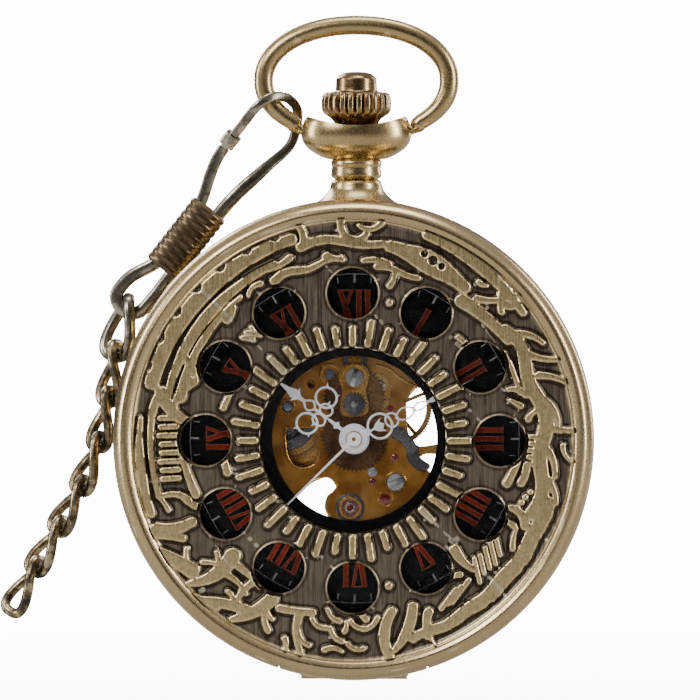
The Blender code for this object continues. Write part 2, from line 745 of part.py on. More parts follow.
def click():
    axis = empty("click_axis", (*CLICK, 0), DIAL)
    toward = atan2(BARREL[1] - CLICK[1], BARREL[0] - CLICK[0])
    reach = hypot(BARREL[1] - CLICK[1], BARREL[0] - CLICK[0]) - 6.0
    nose = [(reach, -0.5), (reach, -0.3), (0.5, 0.75), (-0.4, 0.8), (-0.85, 0.1), (-0.5, -0.7),
            (0.3, -0.8)]
    shape = [(x * cos(toward) - y * sin(toward), x * sin(toward) + y * cos(toward))
             for x, y in nose]
    item = flat("click", [shape], 1.9, 2.3, STEEL, parent=axis)
    join(item, rod_tool("click_post", 0.3, 2.0, 3.4, ALONG_H, (0, 0, 0), 8, axis))


# Going train


def arbor_with(name, stages, at, parent, *plates, bore=None, steps=10):
    """A turned arbor with flat wheels and pinions joined to it."""
    profile = tube(bore, *stages) if bore else spindle(*stages)
    item = turned(name, profile, GILT_WHEEL, at=at, steps=steps, parent=parent)
    join(item, *plates)
    return item


def tool_plate(name, loops, foot, top, parent):
    return flat(name, loops, foot, top, parent=parent, group=CUTTERS)


def centre_wheel():
    axis = empty("centre_axis", (0, 0, 0), DIAL)
    rim = CENTRE_TEETH / 2 * CENTRE_MODULE - 0.75
    teeth = zigzag(CENTRE_TEETH, CENTRE_MODULE, CENTRE_PHASE)
    wheel = [teeth, circle(0.5, 10)] + spokes(1.3, rim, 4, 0.5)
    pinion = [leaves(CENTRE_LEAVES, BARREL_MODULE, CENTRE_PHASE), circle(0.5, 10)]
    arbor_with("centre_wheel", [(0.6, 5.55, 9.0)], (0, 0, 0), axis,
               tool_plate("centre_teeth", wheel, 6.5, 6.7, axis),
               tool_plate("centre_leaves", pinion, 5.65, 6.35, axis), bore=0.36)
    teeth = leaves(CANNON_LEAVES, MINUTE_MODULE, CANNON_PHASE, 0.75, 1.0)
    cannon = [teeth, circle(0.72, 10)]
    arbor_with("cannon_pinion", [(0.78, 8.85, 10.5)], (0, 0, 0), axis,
               tool_plate("cannon_leaves", cannon, 8.87, 9.05, axis), bore=0.65)


def motion_works():
    axis = empty("minute_wheel_axis", (*MINUTE_WHEEL, 0), DIAL)
    outline = zigzag(MINUTE_TEETH, MINUTE_MODULE, MINUTE_PHASE)
    wheel = tool_plate("minute_teeth", [outline], 8.87, 9.04, axis)
    outline = leaves(MINUTE_LEAVES, HOUR_MODULE)
    pinion = tool_plate("minute_leaves", [outline], 9.0, 9.4, axis)
    arbor_with("minute_wheel", [(0.5, 8.87, 9.4), (0.33, 7.6, 8.87)], (0, 0, 0), axis, wheel,
               pinion)
    hour_axis = empty("hour_axis", (0, 0, 0), DIAL)
    outline = zigzag(HOUR_TEETH, HOUR_MODULE, HOUR_PHASE)
    teeth = tool_plate("hour_teeth", [outline, circle(0.95, 12)], 9.12, 9.3, hour_axis)
    arbor_with("hour_wheel", [(1.05, 9.12, 10.0)], (0, 0, 0), hour_axis, teeth, bore=0.85,
               steps=12)


def third_wheel():
    axis = empty("third_axis", (*THIRD, 0), DIAL)
    rim = THIRD_TEETH / 2 * THIRD_MODULE - 0.7
    wheel = [zigzag(THIRD_TEETH, THIRD_MODULE, THIRD_PHASE)] + spokes(0.8, rim, 4, 0.45, 0.4)
    pinion = [leaves(THIRD_LEAVES, CENTRE_MODULE, THIRD_PHASE)]
    arbor_with("third_wheel", [(0.13, 6.95, 8.0), (0.28, 3.75, 6.95), (0.13, 2.9, 3.75)],
               (0, 0, 0), axis, tool_plate("third_teeth", wheel, 4.25, 4.42, axis),
               tool_plate("third_leaves", pinion, 6.3, 6.9, axis), steps=6)


def fourth_wheel():
    axis = empty("fourth_axis", (0, 0, 0), DIAL)
    rim = FOURTH_TEETH / 2 * FOURTH_MODULE - 0.65
    wheel = [zigzag(FOURTH_TEETH, FOURTH_MODULE, FOURTH_PHASE)] + spokes(0.8, rim, 4, 0.4, 0.2)
    pinion = [leaves(FOURTH_LEAVES, THIRD_MODULE, FOURTH_PHASE)]
    arbor_with("fourth_wheel", [(0.2, 3.75, 10.85), (0.13, 2.9, 3.75)], (0, 0, 0), axis,
               tool_plate("fourth_teeth", wheel, 3.85, 4.03, axis),
               tool_plate("fourth_leaves", pinion, 4.15, 4.6, axis), steps=6)


def escape_wheel():
    axis = empty("escape_axis", (*ESCAPE, 0), DIAL)
    pinion = [leaves(ESCAPE_LEAVES, FOURTH_MODULE, ESCAPE_PHASE)]
    teeth = []
    for i in range(ESCAPE_TEETH):
        for share, radius in ((0, 2.6), (0.1, 2.5), (0.42, 1.9), (0.78, 1.9)):
            a = 2 * pi * (i + share) / ESCAPE_TEETH
            teeth.append((radius * cos(a), radius * sin(a)))
    wheel = [teeth] + spokes(0.6, 1.6, 4, 0.35)
    arbor_with("escape_wheel", [(0.13, 6.0, 8.0), (0.16, 3.75, 6.0), (0.13, 2.9, 3.75)],
               (0, 0, 0), axis, tool_plate("escape_teeth", wheel, 5.6, 5.78, axis),
               tool_plate("escape_leaves", pinion, 3.78, 4.15, axis), steps=6)


def pallet_fork():
    axis = empty("pallet_axis", (*PALLET, 0), DIAL)
    toward = atan2(BALANCE[1] - PALLET[1], BALANCE[0] - PALLET[0])
    half = [(2.3, 0.0), (2.55, 0.14), (2.55, 0.36), (1.9, 0.2), (0.35, 0.2), (0.15, 0.45),
            (-0.42, 1.5), (-0.7, 1.65), (-0.85, 1.38), (-0.6, 1.2), (-0.3, 0.4), (-0.45, 0.0)]
    outline = half + [(u, -v) for u, v in reversed(half[1:-1])]
    shape = [(u * cos(toward) - v * sin(toward), u * sin(toward) + v * cos(toward))
             for u, v in outline]
    arbor_with("pallet_fork", [(0.13, 2.9, 8.0)], (0, 0, 0), axis,
               tool_plate("pallet_body", [shape], 5.5, 5.85, axis), steps=6)


def balance():
    axis = empty("balance_axis", (*BALANCE, 0), DIAL)
    wheel = [circle(BALANCE_R, 24)] + spokes(0.6, BALANCE_R - 0.4, 2, 0.45, 0.5)
    arbor_with("balance_wheel",
               [(0.13, 5.9, 8.0), (0.45, 5.5, 5.85), (0.22, 4.1, 5.5), (0.13, 2.9, 4.1)],
               (0, 0, 0), axis, tool_plate("balance_rim", wheel, 4.3, 4.72, axis), steps=10)
    outer = [(r * cos(a), r * sin(a)) for r, a in coil_points(0.62, 1.8, 3, 12)]
    inner = [(r * cos(a), r * sin(a)) for r, a in coil_points(0.54, 1.72, 3, 12)]
    flat("hairspring", [outer + list(reversed(inner))], 3.82, 4.0, DARK_STEEL, parent=axis)


def going_train():
    barrel()
    ratchet()
    click()
    centre_wheel()
    motion_works()
    third_wheel()
    fourth_wheel()
    escape_wheel()
    pallet_fork()
    balance()


# Hands: each lies along its own +x and is turned to its clock angle


def clock_turn(clock_angle):
    return radians(90 - clock_angle)


def turned_loops(loops, angle):
    return [[(x * cos(angle) - y * sin(angle), x * sin(angle) + y * cos(angle)) for x, y in loop]
            for loop in loops]


def hand_outline(hub, stations):
    """A symmetric hand: a round hub, then (reach, half width) stations out to the tip."""
    start = atan2(stations[0][1], stations[0][0])
    arc = [start + (2 * pi - 2 * start) * i / 12 for i in range(13)]
    upper = [(x, w) for x, w in stations[1:]]
    lower = [(x, -w) for x, w in reversed(stations[1:]) if w > 0]
    around = [(hub * cos(a), hub * sin(a)) for a in reversed(arc)]
    return lower + around + upper


def hour_hand():
    stations = [(1.35, 0.3), (3.3, 0.22), (3.7, 0.75), (3.5, 1.5), (4.0, 2.35), (4.8, 2.5),
                (5.5, 1.9), (5.7, 1.1), (6.1, 0.4), (6.9, 0.2), (7.5, 0.55), (8.1, 0.2),
                (9.4, 0.0)]
    holes = [circle(0.72, 8, (4.6, side * 1.45)) for side in (-1, 1)]
    outline = hand_outline(1.45, stations)
    loops = turned_loops([outline, circle(1.1, 12)] + holes, clock_turn(306.9))
    flat("hour_hand", loops, 9.75, 9.95, HAND_SILVER,
         parent=bpy.data.objects["hour_axis"])


def minute_hand():
    stations = [(1.2, 0.3), (1.6, 0.5), (2.1, 1.15), (2.8, 1.3), (3.5, 0.95), (4.2, 0.75),
                (4.7, 0.35), (5.6, 0.6), (6.5, 0.4), (7.2, 0.4), (8.0, 0.2), (9.4, 0.28),
                (13.2, 0.0)]
    holes = [circle(0.75, 8, (2.8, 0)), [(4.95, 0), (5.6, -0.32), (6.25, 0), (5.6, 0.32)]]
    loops = turned_loops([hand_outline(1.25, stations), circle(0.82, 12)] + holes,
                         clock_turn(63.2))
    flat("minute_hand", loops, 10.25, 10.45, HAND_SILVER,
         parent=bpy.data.objects["centre_axis"])


def seconds_hand():
    stations = [(0.65, 0.18), (3.0, 0.15), (13.0, 0.06), (13.2, 0.0)]
    loops = turned_loops([hand_outline(0.7, stations), circle(0.24, 8)], clock_turn(225.4))
    flat("seconds_hand", loops, 10.72, 10.84, HAND_SILVER,
         parent=bpy.data.objects["fourth_axis"])


def hands():
    hour_hand()
    minute_hand()
    seconds_hand()


# Clasp and chain: the clasp is laid out along its own x, from the sleeve up to the bow


def clasp_point(u, v):
    turn = radians(CLASP_TILT)
    return (CLASP[0] + u * cos(turn) - v * sin(turn), CLASP[1] + u * sin(turn) + v * cos(turn))


def clasp():
    swing = empty("clasp_axis", (*clasp_point(15.4, 0.4), STEM_H), DIAL)
    frame = empty("clasp_frame", (*clasp_shift(), 0), swing, (0, 0, radians(CLASP_TILT)))
    hook = [(9.5, 2.6, 0.2), (12.2, 2.5, 1.15), (14.5, 2.45, 1.75), (16.2, 1.9, 1.4),
            (17.1, 0.6, 0.1), (16.7, -0.8, -1.3), (15.2, -1.75, -1.9), (13.3, -2.35, -1.5),
            (10.0, -1.8, -0.5), (6.0, -1.15, 0), (2.0, -1.0, 0), (-3.6, -0.98, 0),
            (-6.4, -1.0, 0), (-8.6, -0.75, 0), (-9.4, 0.6, 0), (-8.6, 2.05, 0), (-6.4, 2.05, 0),
            (-3.9, 1.0, 0), (-2.6, 0.98, 0)]
    wire("clasp_hook", hook, CLASP_WIRE, GUNMETAL, parent=frame, kind="BEZIER", resolution=2)
    sleeve_shell(frame)
    pivot = empty("gate_axis", (0.2, 0.98, 0), frame)
    gate = [(0, 0, 0), (3.6, 0.1, 0), (6.2, 1.0, 0), (8.75, 1.62, 0)]
    wire("clasp_gate", gate, 0.42, GUNMETAL, parent=pivot, kind="BEZIER", resolution=2)


def clasp_shift():
    pivot = clasp_point(15.4, 0.4)
    return (CLASP[0] - pivot[0], CLASP[1] - pivot[1])


def sleeve_shell(frame):
    """A ribbed sleeve, oval in section, with a slot through it for the wires."""
    rib_count = 9
    length = 7.6
    pitch = length / rib_count
    profile = [(0, length / 2)]
    for i in range(rib_count):
        top = length / 2 - i * pitch
        profile += [(1.88, top), (2.06, top - pitch * 0.5)]
    profile += [(1.88, -length / 2), (0, -length / 2)]
    cylinder = turned("sleeve_body", profile, steps=12, parent=frame, group=CUTTERS)
    mesh = evaluated_mesh(cylinder, "clasp_sleeve", GUNMETAL)
    bpy.data.objects.remove(cylinder, do_unlink=True)
    for vertex in mesh.vertices:
        vertex.co.x *= 0.68
    item = bpy.data.objects.new("clasp_sleeve", mesh)
    place(item, (0, 0, 0), ALONG_X, frame, PARTS)
    cut(item, box("sleeve_slot", (-6, -1.58, -0.62), (6, 1.58, 0.62), frame))


def link_points(length, width, roll_start, roll_end, count=14):
    """An oval link along its own -y, twisted about that line so that it can lie in a row."""
    points = []
    for i in range(count):
        a = 2 * pi * i / count
        along = -length / 2 + length / 2 * cos(a)
        across = width / 2 * (abs(sin(a)) ** 0.55) * (1 if sin(a) > 0 else -1)
        share = -along / length
        roll = radians(roll_start + (roll_end - roll_start) * share)
        points.append((across * cos(roll), along, across * sin(roll)))
    return points


def link_heading(index):
    """The direction of a link below the ring, in degrees from straight down."""
    share = min(max(index / 3.5, 0.0), 1.0)
    return -8 - 22 * share * share * (3 - 2 * share)


def chain():
    """The ring and the links, each turned about the point where it hangs in the one before."""
    frame = bpy.data.objects["clasp_frame"]
    ring_length = 6.0
    heading = -15.0
    turn = radians(heading - CLASP_TILT)
    ring_axis = empty("ring_axis", (-8.72, 0.62, 0), frame, (0, 0, turn))
    points = link_points(ring_length, 3.5, 84, -42)
    lift = 0.65
    points = [(x, y + lift, z) for x, y, z in points]
    wire("chain_ring", points, 0.55, GUNMETAL, parent=ring_axis, cyclic=True)
    parent = ring_axis
    step = ring_length - 1.3
    for index in range(LINK_COUNT):
        turn = link_heading(index)
        axis = empty(f"link_{index + 1}_axis", (0, -step, 0), parent, (0, 0, radians(turn - heading)))
        length = LINK_PITCH + LINK_WIRE + 0.15
        points = link_points(length, LINK_WIDTH - LINK_WIRE, 45, -45)
        points = [(x, y + (LINK_WIRE + 0.15) / 2, z) for x, y, z in points]
        wire(f"link_{index + 1}", points, LINK_WIRE / 2, GUNMETAL, parent=axis, cyclic=True)
        parent = axis
        step = LINK_PITCH
        heading = turn


case_parts()
pendant_parts()
movement_frame()
going_train()
hands()
clasp()
chain()
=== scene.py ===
import json
from math import atan2, cos, hypot, pi, radians, sin

import bmesh
import bpy
import numpy as np
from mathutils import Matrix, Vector


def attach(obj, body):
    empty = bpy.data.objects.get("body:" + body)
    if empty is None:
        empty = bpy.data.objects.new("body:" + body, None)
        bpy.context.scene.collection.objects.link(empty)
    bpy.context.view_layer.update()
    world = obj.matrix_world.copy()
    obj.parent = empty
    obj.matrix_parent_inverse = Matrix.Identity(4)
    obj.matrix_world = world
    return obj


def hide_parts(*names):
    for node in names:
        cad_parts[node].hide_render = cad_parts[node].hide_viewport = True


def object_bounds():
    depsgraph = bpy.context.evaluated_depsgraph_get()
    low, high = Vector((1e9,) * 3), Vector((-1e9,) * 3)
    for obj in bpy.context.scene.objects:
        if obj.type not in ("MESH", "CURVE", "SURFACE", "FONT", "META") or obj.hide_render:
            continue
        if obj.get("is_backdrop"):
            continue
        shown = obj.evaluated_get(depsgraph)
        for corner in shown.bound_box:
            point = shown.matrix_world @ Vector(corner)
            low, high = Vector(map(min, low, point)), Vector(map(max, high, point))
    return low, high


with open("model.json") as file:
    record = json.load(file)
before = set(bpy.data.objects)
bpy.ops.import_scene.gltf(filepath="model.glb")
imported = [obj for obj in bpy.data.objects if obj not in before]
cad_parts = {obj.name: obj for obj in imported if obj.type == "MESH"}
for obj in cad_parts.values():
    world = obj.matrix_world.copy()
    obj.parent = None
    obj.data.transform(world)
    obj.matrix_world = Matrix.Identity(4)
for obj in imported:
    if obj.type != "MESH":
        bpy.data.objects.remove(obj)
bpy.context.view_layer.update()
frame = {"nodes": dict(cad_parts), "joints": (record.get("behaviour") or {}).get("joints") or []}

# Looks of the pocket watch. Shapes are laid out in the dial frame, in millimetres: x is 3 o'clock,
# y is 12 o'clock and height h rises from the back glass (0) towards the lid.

MM = 0.001
JOINTS = {joint["name"]: joint for joint in frame["joints"]}
RNG = np.random.default_rng(7)

# Case: radii, heights, and the hinge as (y, height)
WINDOW_R = 8.95
HOLE_R = 2.44
HOLE_RING_R = 14.36
RELIEF_TOP = 13.9
RELIEF_FLOOR = 13.48
RELIEF_R = 21.5
LID_BACK = 12.95
HINGE = (-23.0, 9.9)
HINGE_REACH = 5.3
KNUCKLE_ROOM = 2.45
STEM_H = 5.0
BOW_Y = 30.3

# Lid ornament: added to each half width, and pushed towards the rim beyond a radius
BROADER = 0.12
SPREAD = 1.14
SPREAD_FROM = 17.0

# Movement: places of the arbors and heights of the plates
BARREL = (-7.0, 1.9)
THIRD = (3.5, 2.9)
ESCAPE = (3.95, -1.9)
PALLET = (1.77, -4.3)
BALANCE = (-0.45, -6.8)
CROWN_WHEEL = (0.0, 9.3)
MINUTE_WHEEL = (0.0, 4.0)
CENTRE = (0.0, 0.0)
CLICK = (-9.9, -5.0)
PILLARS = ((-14.0, 4.6), (-4.6, 14.0), (5.2, 12.6), (8.6, -11.2), (1.2, -14.2))
PLATE_SCREW = (4.0, -4.3)
LOBE_JEWEL = (2.36, 5.1)
BIG_STUD = (-2.4, 6.3)
SMALL_STUD = (-6.6, 3.1)
BALANCE_R = 2.35
PLATE_TOP = 8.8
BRIDGE_FOOT = 2.5
BRIDGE_TOP = 3.7
DIAL_TOP = 9.2
HOUR_CLOCK = 306.9
MINUTE_CLOCK = 63.2
SECONDS_CLOCK = 225.4

# Clasp: the middle of its sleeve and its slope
CLASP = (-16.8, 19.5)
CLASP_TILT = 52.0

# In metres: the welding distance of a mesh, and the floor's drop, which leaves the open lid room
WELD = 2e-7
LID_DROP = 0.0125

# Strength of the white that the camera sees behind the watch
SEEN_WHITE = 14.0


# Mesh building


def to_row(points):
    """Dial-frame millimetres to row-frame metres."""
    p = np.asarray(points, float).reshape(-1, 3)
    return np.stack([p[:, 0], -p[:, 2], p[:, 1]], 1) * MM


def mesh_from(name, points, faces, attributes=None):
    """A mesh with joined corners and faces that point outwards."""
    mesh = bpy.data.meshes.new(name)
    mesh.from_pydata(to_row(points).tolist(), [], [tuple(int(i) for i in f) for f in faces])
    for key, values in (attributes or {}).items():
        layer = mesh.attributes.new(key, "FLOAT", "POINT")
        layer.data.foreach_set("value", np.asarray(values, np.float32))
    shape = bmesh.new()
    shape.from_mesh(mesh)
    bmesh.ops.remove_doubles(shape, verts=shape.verts, dist=WELD)
    bmesh.ops.recalc_face_normals(shape, faces=shape.faces)
    shape.to_mesh(mesh)
    shape.free()
    return mesh


def new_object(name, points, faces, material, body, stands_for=(), slot=None, angle=38,
               attributes=None):
    """A piece of the watch that rides on a body and stands for its CAD nodes."""
    item = bpy.data.objects.new(name, mesh_from(name, points, faces, attributes))
    bpy.context.scene.collection.objects.link(item)
    shade(item, material, angle)
    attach(item, body)
    if stands_for:
        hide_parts(*stands_for)
    return item


def shade(item, material, angle=32):
    item.data.materials.clear()
    item.data.materials.append(material)
    item.data.shade_smooth()
    item.data.set_sharp_from_angle(angle=radians(angle))


def grid_faces(rows, columns, close_rows=False, close_columns=False):
    """Quads of a rows by columns grid of points."""
    r = np.arange(rows if close_rows else rows - 1)
    c = np.arange(columns if close_columns else columns - 1)
    rr, cc = np.meshgrid(r, c, indexing="ij")
    r2, c2 = (rr + 1) % rows, (cc + 1) % columns
    quads = np.stack([rr * columns + cc, rr * columns + c2, r2 * columns + c2, r2 * columns + cc], -1)
    return quads.reshape(-1, 4)


class Parts:
    """Collects shells into one mesh."""

    def __init__(self):
        self.points = []
        self.faces = []
        self.count = 0

    def add(self, points, faces):
        p = np.asarray(points, float).reshape(-1, 3)
        self.points.append(p)
        self.faces += [tuple(int(i) + self.count for i in face) for face in faces]
        self.count += len(p)
        return self

    def plate(self, loops, foot, top, bevel=0.04, at=(0, 0)):
        return self.add(*plate_mesh(loops, foot, top, bevel, at))

    def turn(self, profile, steps, at=(0, 0), corner=0.0, closed=False):
        """A profile turned about an upright axis, its corners rounded off."""
        if corner:
            profile = rounded(profile, corner, closed=closed)
        return self.add(*turned(profile, steps, (*at, 0), closed=closed))

    def rod(self, radius, low, high, at=(0, 0), steps=32, corner=0.03):
        return self.turn([(0, low), (radius, low), (radius, high), (0, high)], steps, at, corner)

    def tube(self, inner, outer, low, high, at=(0, 0), steps=64, corner=0.03):
        profile = [(inner, low), (outer, low), (outer, high), (inner, high)]
        return self.turn(profile, steps, at, corner, closed=True)

    def wire(self, path, width, height, count=10, power=2.0, closed=False):
        return self.add(*sweep(path, oval(width, height, count, power), closed=closed))

    def done(self, name, material, body, stands_for=(), slot=None, angle=38):
        return new_object(name, np.concatenate(self.points), self.faces, material, body,
                          stands_for, slot, angle)


def turned(profile, steps=96, at=(0, 0, 0), axis="h", squash=1.0, closed=False):
    """(points, faces) of a (radius, height) profile turned about an axis of the dial frame."""
    p = np.asarray(profile, float)
    a = 2 * pi * np.arange(steps) / steps
    u = p[:, 0][:, None] * np.cos(a)
    v = p[:, 0][:, None] * np.sin(a)
    w = np.repeat(p[:, 1][:, None], steps, 1)
    if axis == "h":
        points = np.stack([u, v, w], -1)
    elif axis == "y":
        points = np.stack([u, w, -v * squash], -1)
    else:
        points = np.stack([w, u, v], -1)
    points = points + np.asarray(at, float)
    return points.reshape(-1, 3), grid_faces(len(p), steps, closed, True)


def rounded(profile, radius=0.1, closed=False):
    """The same profile with each corner rounded off."""
    steps = 4
    p = [np.asarray(q, float) for q in profile]
    out = []
    last = len(p) - 1
    for i, q in enumerate(p):
        if not closed and i in (0, last):
            out.append(q)
            continue
        before, after = p[i - 1], p[(i + 1) % len(p)]
        a, b = before - q, after - q
        la, lb = np.linalg.norm(a), np.linalg.norm(b)
        cut = min(radius, la * 0.45, lb * 0.45)
        start, end = q + a / la * cut, q + b / lb * cut
        for k in range(steps + 1):
            t = k / steps
            out.append((1 - t) ** 2 * start + 2 * t * (1 - t) * q + t * t * end)
    return [tuple(q) for q in out]


def sweep(path, section, closed=False, scale=None, outward=None):
    """(points, faces) of a section carried along a path; its first axis lies across the path."""
    p = np.asarray(path, float)
    n = len(p)
    if closed:
        t = np.roll(p, -1, 0) - np.roll(p, 1, 0)
    else:
        t = np.gradient(p, axis=0)
    t /= np.linalg.norm(t, axis=1)[:, None]
    if outward is not None:
        side = p - np.asarray(outward, float)
        side -= (side * t).sum(1)[:, None] * t
    else:
        side = np.cross(t, (0.0, 0.0, 1.0))
    side /= np.linalg.norm(side, axis=1)[:, None]
    rise = np.cross(side, t)
    s = np.asarray(section, float)
    k = np.ones(n) if scale is None else np.asarray(scale, float)
    points = (p[:, None, :] + k[:, None, None] * (s[None, :, 0, None] * side[:, None, :]
              + s[None, :, 1, None] * rise[:, None, :]))
    faces = [tuple(f) for f in grid_faces(n, len(s), closed, True)]
    if not closed:
        faces.append(tuple(range(len(s) - 1, -1, -1)))
        faces.append(tuple((n - 1) * len(s) + i for i in range(len(s))))
    return points.reshape(-1, 3), faces


def oval(width, height, count=16, power=2.0):
    """A closed section; a power above 2 makes it squarer."""
    points = []
    for i in range(count):
        a = 2 * pi * (i + 0.5) / count
        c, s = cos(a), sin(a)
        points.append((width / 2 * abs(c) ** (2 / power) * (1 if c > 0 else -1),
                       height / 2 * abs(s) ** (2 / power) * (1 if s > 0 else -1)))
    return points


def curve_through(points, per_span=10, closed=False):
    """A Catmull-Rom curve through points of any dimension."""
    p = np.asarray(points, float)
    n = len(p)
    out = []
    spans = n if closed else n - 1
    for i in range(spans):
        if closed:
            a, b, c, d = (p[(i + k) % n] for k in (-1, 0, 1, 2))
        else:
            a, b, c, d = (p[min(max(i + k, 0), n - 1)] for k in (-1, 0, 1, 2))
        for k in range(per_span):
            t = k / per_span
            out.append(0.5 * (2 * b + (c - a) * t + (2 * a - 5 * b + 4 * c - d) * t * t
                              + (3 * b - a - 3 * c + d) * t ** 3))
    if not closed:
        out.append(p[-1])
    return np.array(out)


def plate_mesh(loops, foot, top, bevel=0.04, at=(0, 0)):
    """(points, faces) of a flat piece with softened edges; the later loops are openings."""
    curve = bpy.data.curves.new("outline", "CURVE")
    curve.dimensions = "2D"
    curve.fill_mode = "BOTH"
    curve.extrude = (top - foot) / 2 - bevel
    curve.bevel_depth = bevel
    curve.bevel_resolution = 0
    curve.offset = -bevel
    for loop in loops:
        spline = curve.splines.new("POLY")
        spline.points.add(len(loop) - 1)
        for point, (x, y) in zip(spline.points, loop):
            point.co = (x, y, 0, 1)
        spline.use_cyclic_u = True
    item = bpy.data.objects.new("outline", curve)
    bpy.context.scene.collection.objects.link(item)
    bpy.context.view_layer.update()
    mesh = bpy.data.meshes.new_from_object(item.evaluated_get(bpy.context.evaluated_depsgraph_get()))
    points = np.array([v.co for v in mesh.vertices], float).reshape(-1, 3)
    faces = [tuple(f.vertices) for f in mesh.polygons]
    bpy.data.objects.remove(item, do_unlink=True)
    bpy.data.curves.remove(curve)
    bpy.data.meshes.remove(mesh)
    return points + np.array([at[0], at[1], (foot + top) / 2]), faces


def carve(item, points, faces, operation="DIFFERENCE"):
    """Cuts one shell out of a piece, or joins it on, and keeps only the result."""
    tool = bpy.data.objects.new("tool", mesh_from("tool", points, faces))
    bpy.context.scene.collection.objects.link(tool)
    modifier = item.modifiers.new("carve", "BOOLEAN")
    modifier.operation = operation
    modifier.solver = "EXACT"
    modifier.object = tool
    bpy.context.view_layer.update()
    mesh = bpy.data.meshes.new_from_object(item.evaluated_get(bpy.context.evaluated_depsgraph_get()))
    item.modifiers.clear()
    item.data = mesh
    bpy.data.objects.remove(tool, do_unlink=True)
    return item


def block(low, high):
    x, y, h = zip(low, high)
    points = [(x[i], y[j], h[k]) for k in (0, 1) for j in (0, 1) for i in (0, 1)]
    faces = [(0, 2, 3, 1), (4, 5, 7, 6), (0, 1, 5, 4), (2, 6, 7, 3), (0, 4, 6, 2), (1, 3, 7, 5)]
    return points, faces


# Flat outlines


def circle(radius, count=32, at=(0, 0)):
    return [(at[0] + radius * cos(2 * pi * i / count), at[1] + radius * sin(2 * pi * i / count))
            for i in range(count)]


def polar(clock, radius):
    """A point at a clock angle in degrees, clockwise from 12."""
    a = radians(clock)
    return (radius * sin(a), radius * cos(a))


def turned_by(points, angle, at=(0, 0)):
    c, s = cos(angle), sin(angle)
    return [(at[0] + x * c - y * s, at[1] + x * s + y * c) for x, y in points]


def smooth_loop(points, per_span=6):
    return [tuple(p) for p in curve_through(points, per_span, closed=True)]


def smooth_open(points, per_span=6):
    return [tuple(p) for p in curve_through(points, per_span)]


def gear_loop(teeth, module, phase=0.0, addendum=0.9, dedendum=1.1):
    """A wheel outline with rounded trapezium teeth."""
    pitch = 2 * pi / teeth
    corners = ((-0.30, -dedendum), (-0.17, 0.0), (-0.08, addendum), (0.08, addendum), (0.17, 0.0),
               (0.30, -dedendum))
    points = []
    for i in range(teeth):
        for share, rise in corners:
            a = phase + (i + share) * pitch
            radius = (teeth / 2 + rise) * module
            points.append((radius * cos(a), radius * sin(a)))
    return points


def spoke_loops(hub, rim, count, width, turn=0.0, arc=10):
    """The openings between a wheel's spokes."""
    loops = []
    for i in range(count):
        middle = turn + 2 * pi * (i + 0.5) / count
        inner = pi / count - width / 2 / hub
        outer = pi / count - width / 2 / rim
        loops.append([(rim * cos(a), rim * sin(a))
                      for a in middle + np.linspace(-outer, outer, arc + 1)]
                     + [(hub * cos(a), hub * sin(a))
                        for a in middle + np.linspace(inner, -inner, 5)])
    return loops


def meshed_phase(wheel_at, wheel_teeth, wheel_phase, other_at, other_teeth):
    """The phase at which the other wheel's gaps meet this wheel's teeth."""
    line = atan2(other_at[1] - wheel_at[1], other_at[0] - wheel_at[0])
    turn = ((wheel_phase - line) / (2 * pi / wheel_teeth)) % 1.0
    return line + pi + 2 * pi / other_teeth * (0.5 - turn)


def module_for(first, second, teeth):
    return 2 * hypot(second[0] - first[0], second[1] - first[1]) / teeth


# Materials


class Tree:
    """A small helper for writing a node tree."""

    def __init__(self, tree):
        self.tree = tree

    def link(self, value, socket):
        if hasattr(value, "links"):
            self.tree.links.new(value, socket)
        else:
            socket.default_value = value

    def new(self, kind, **settings):
        node = self.tree.nodes.new(kind)
        for key, value in settings.items():
            setattr(node, key, value)
        return node


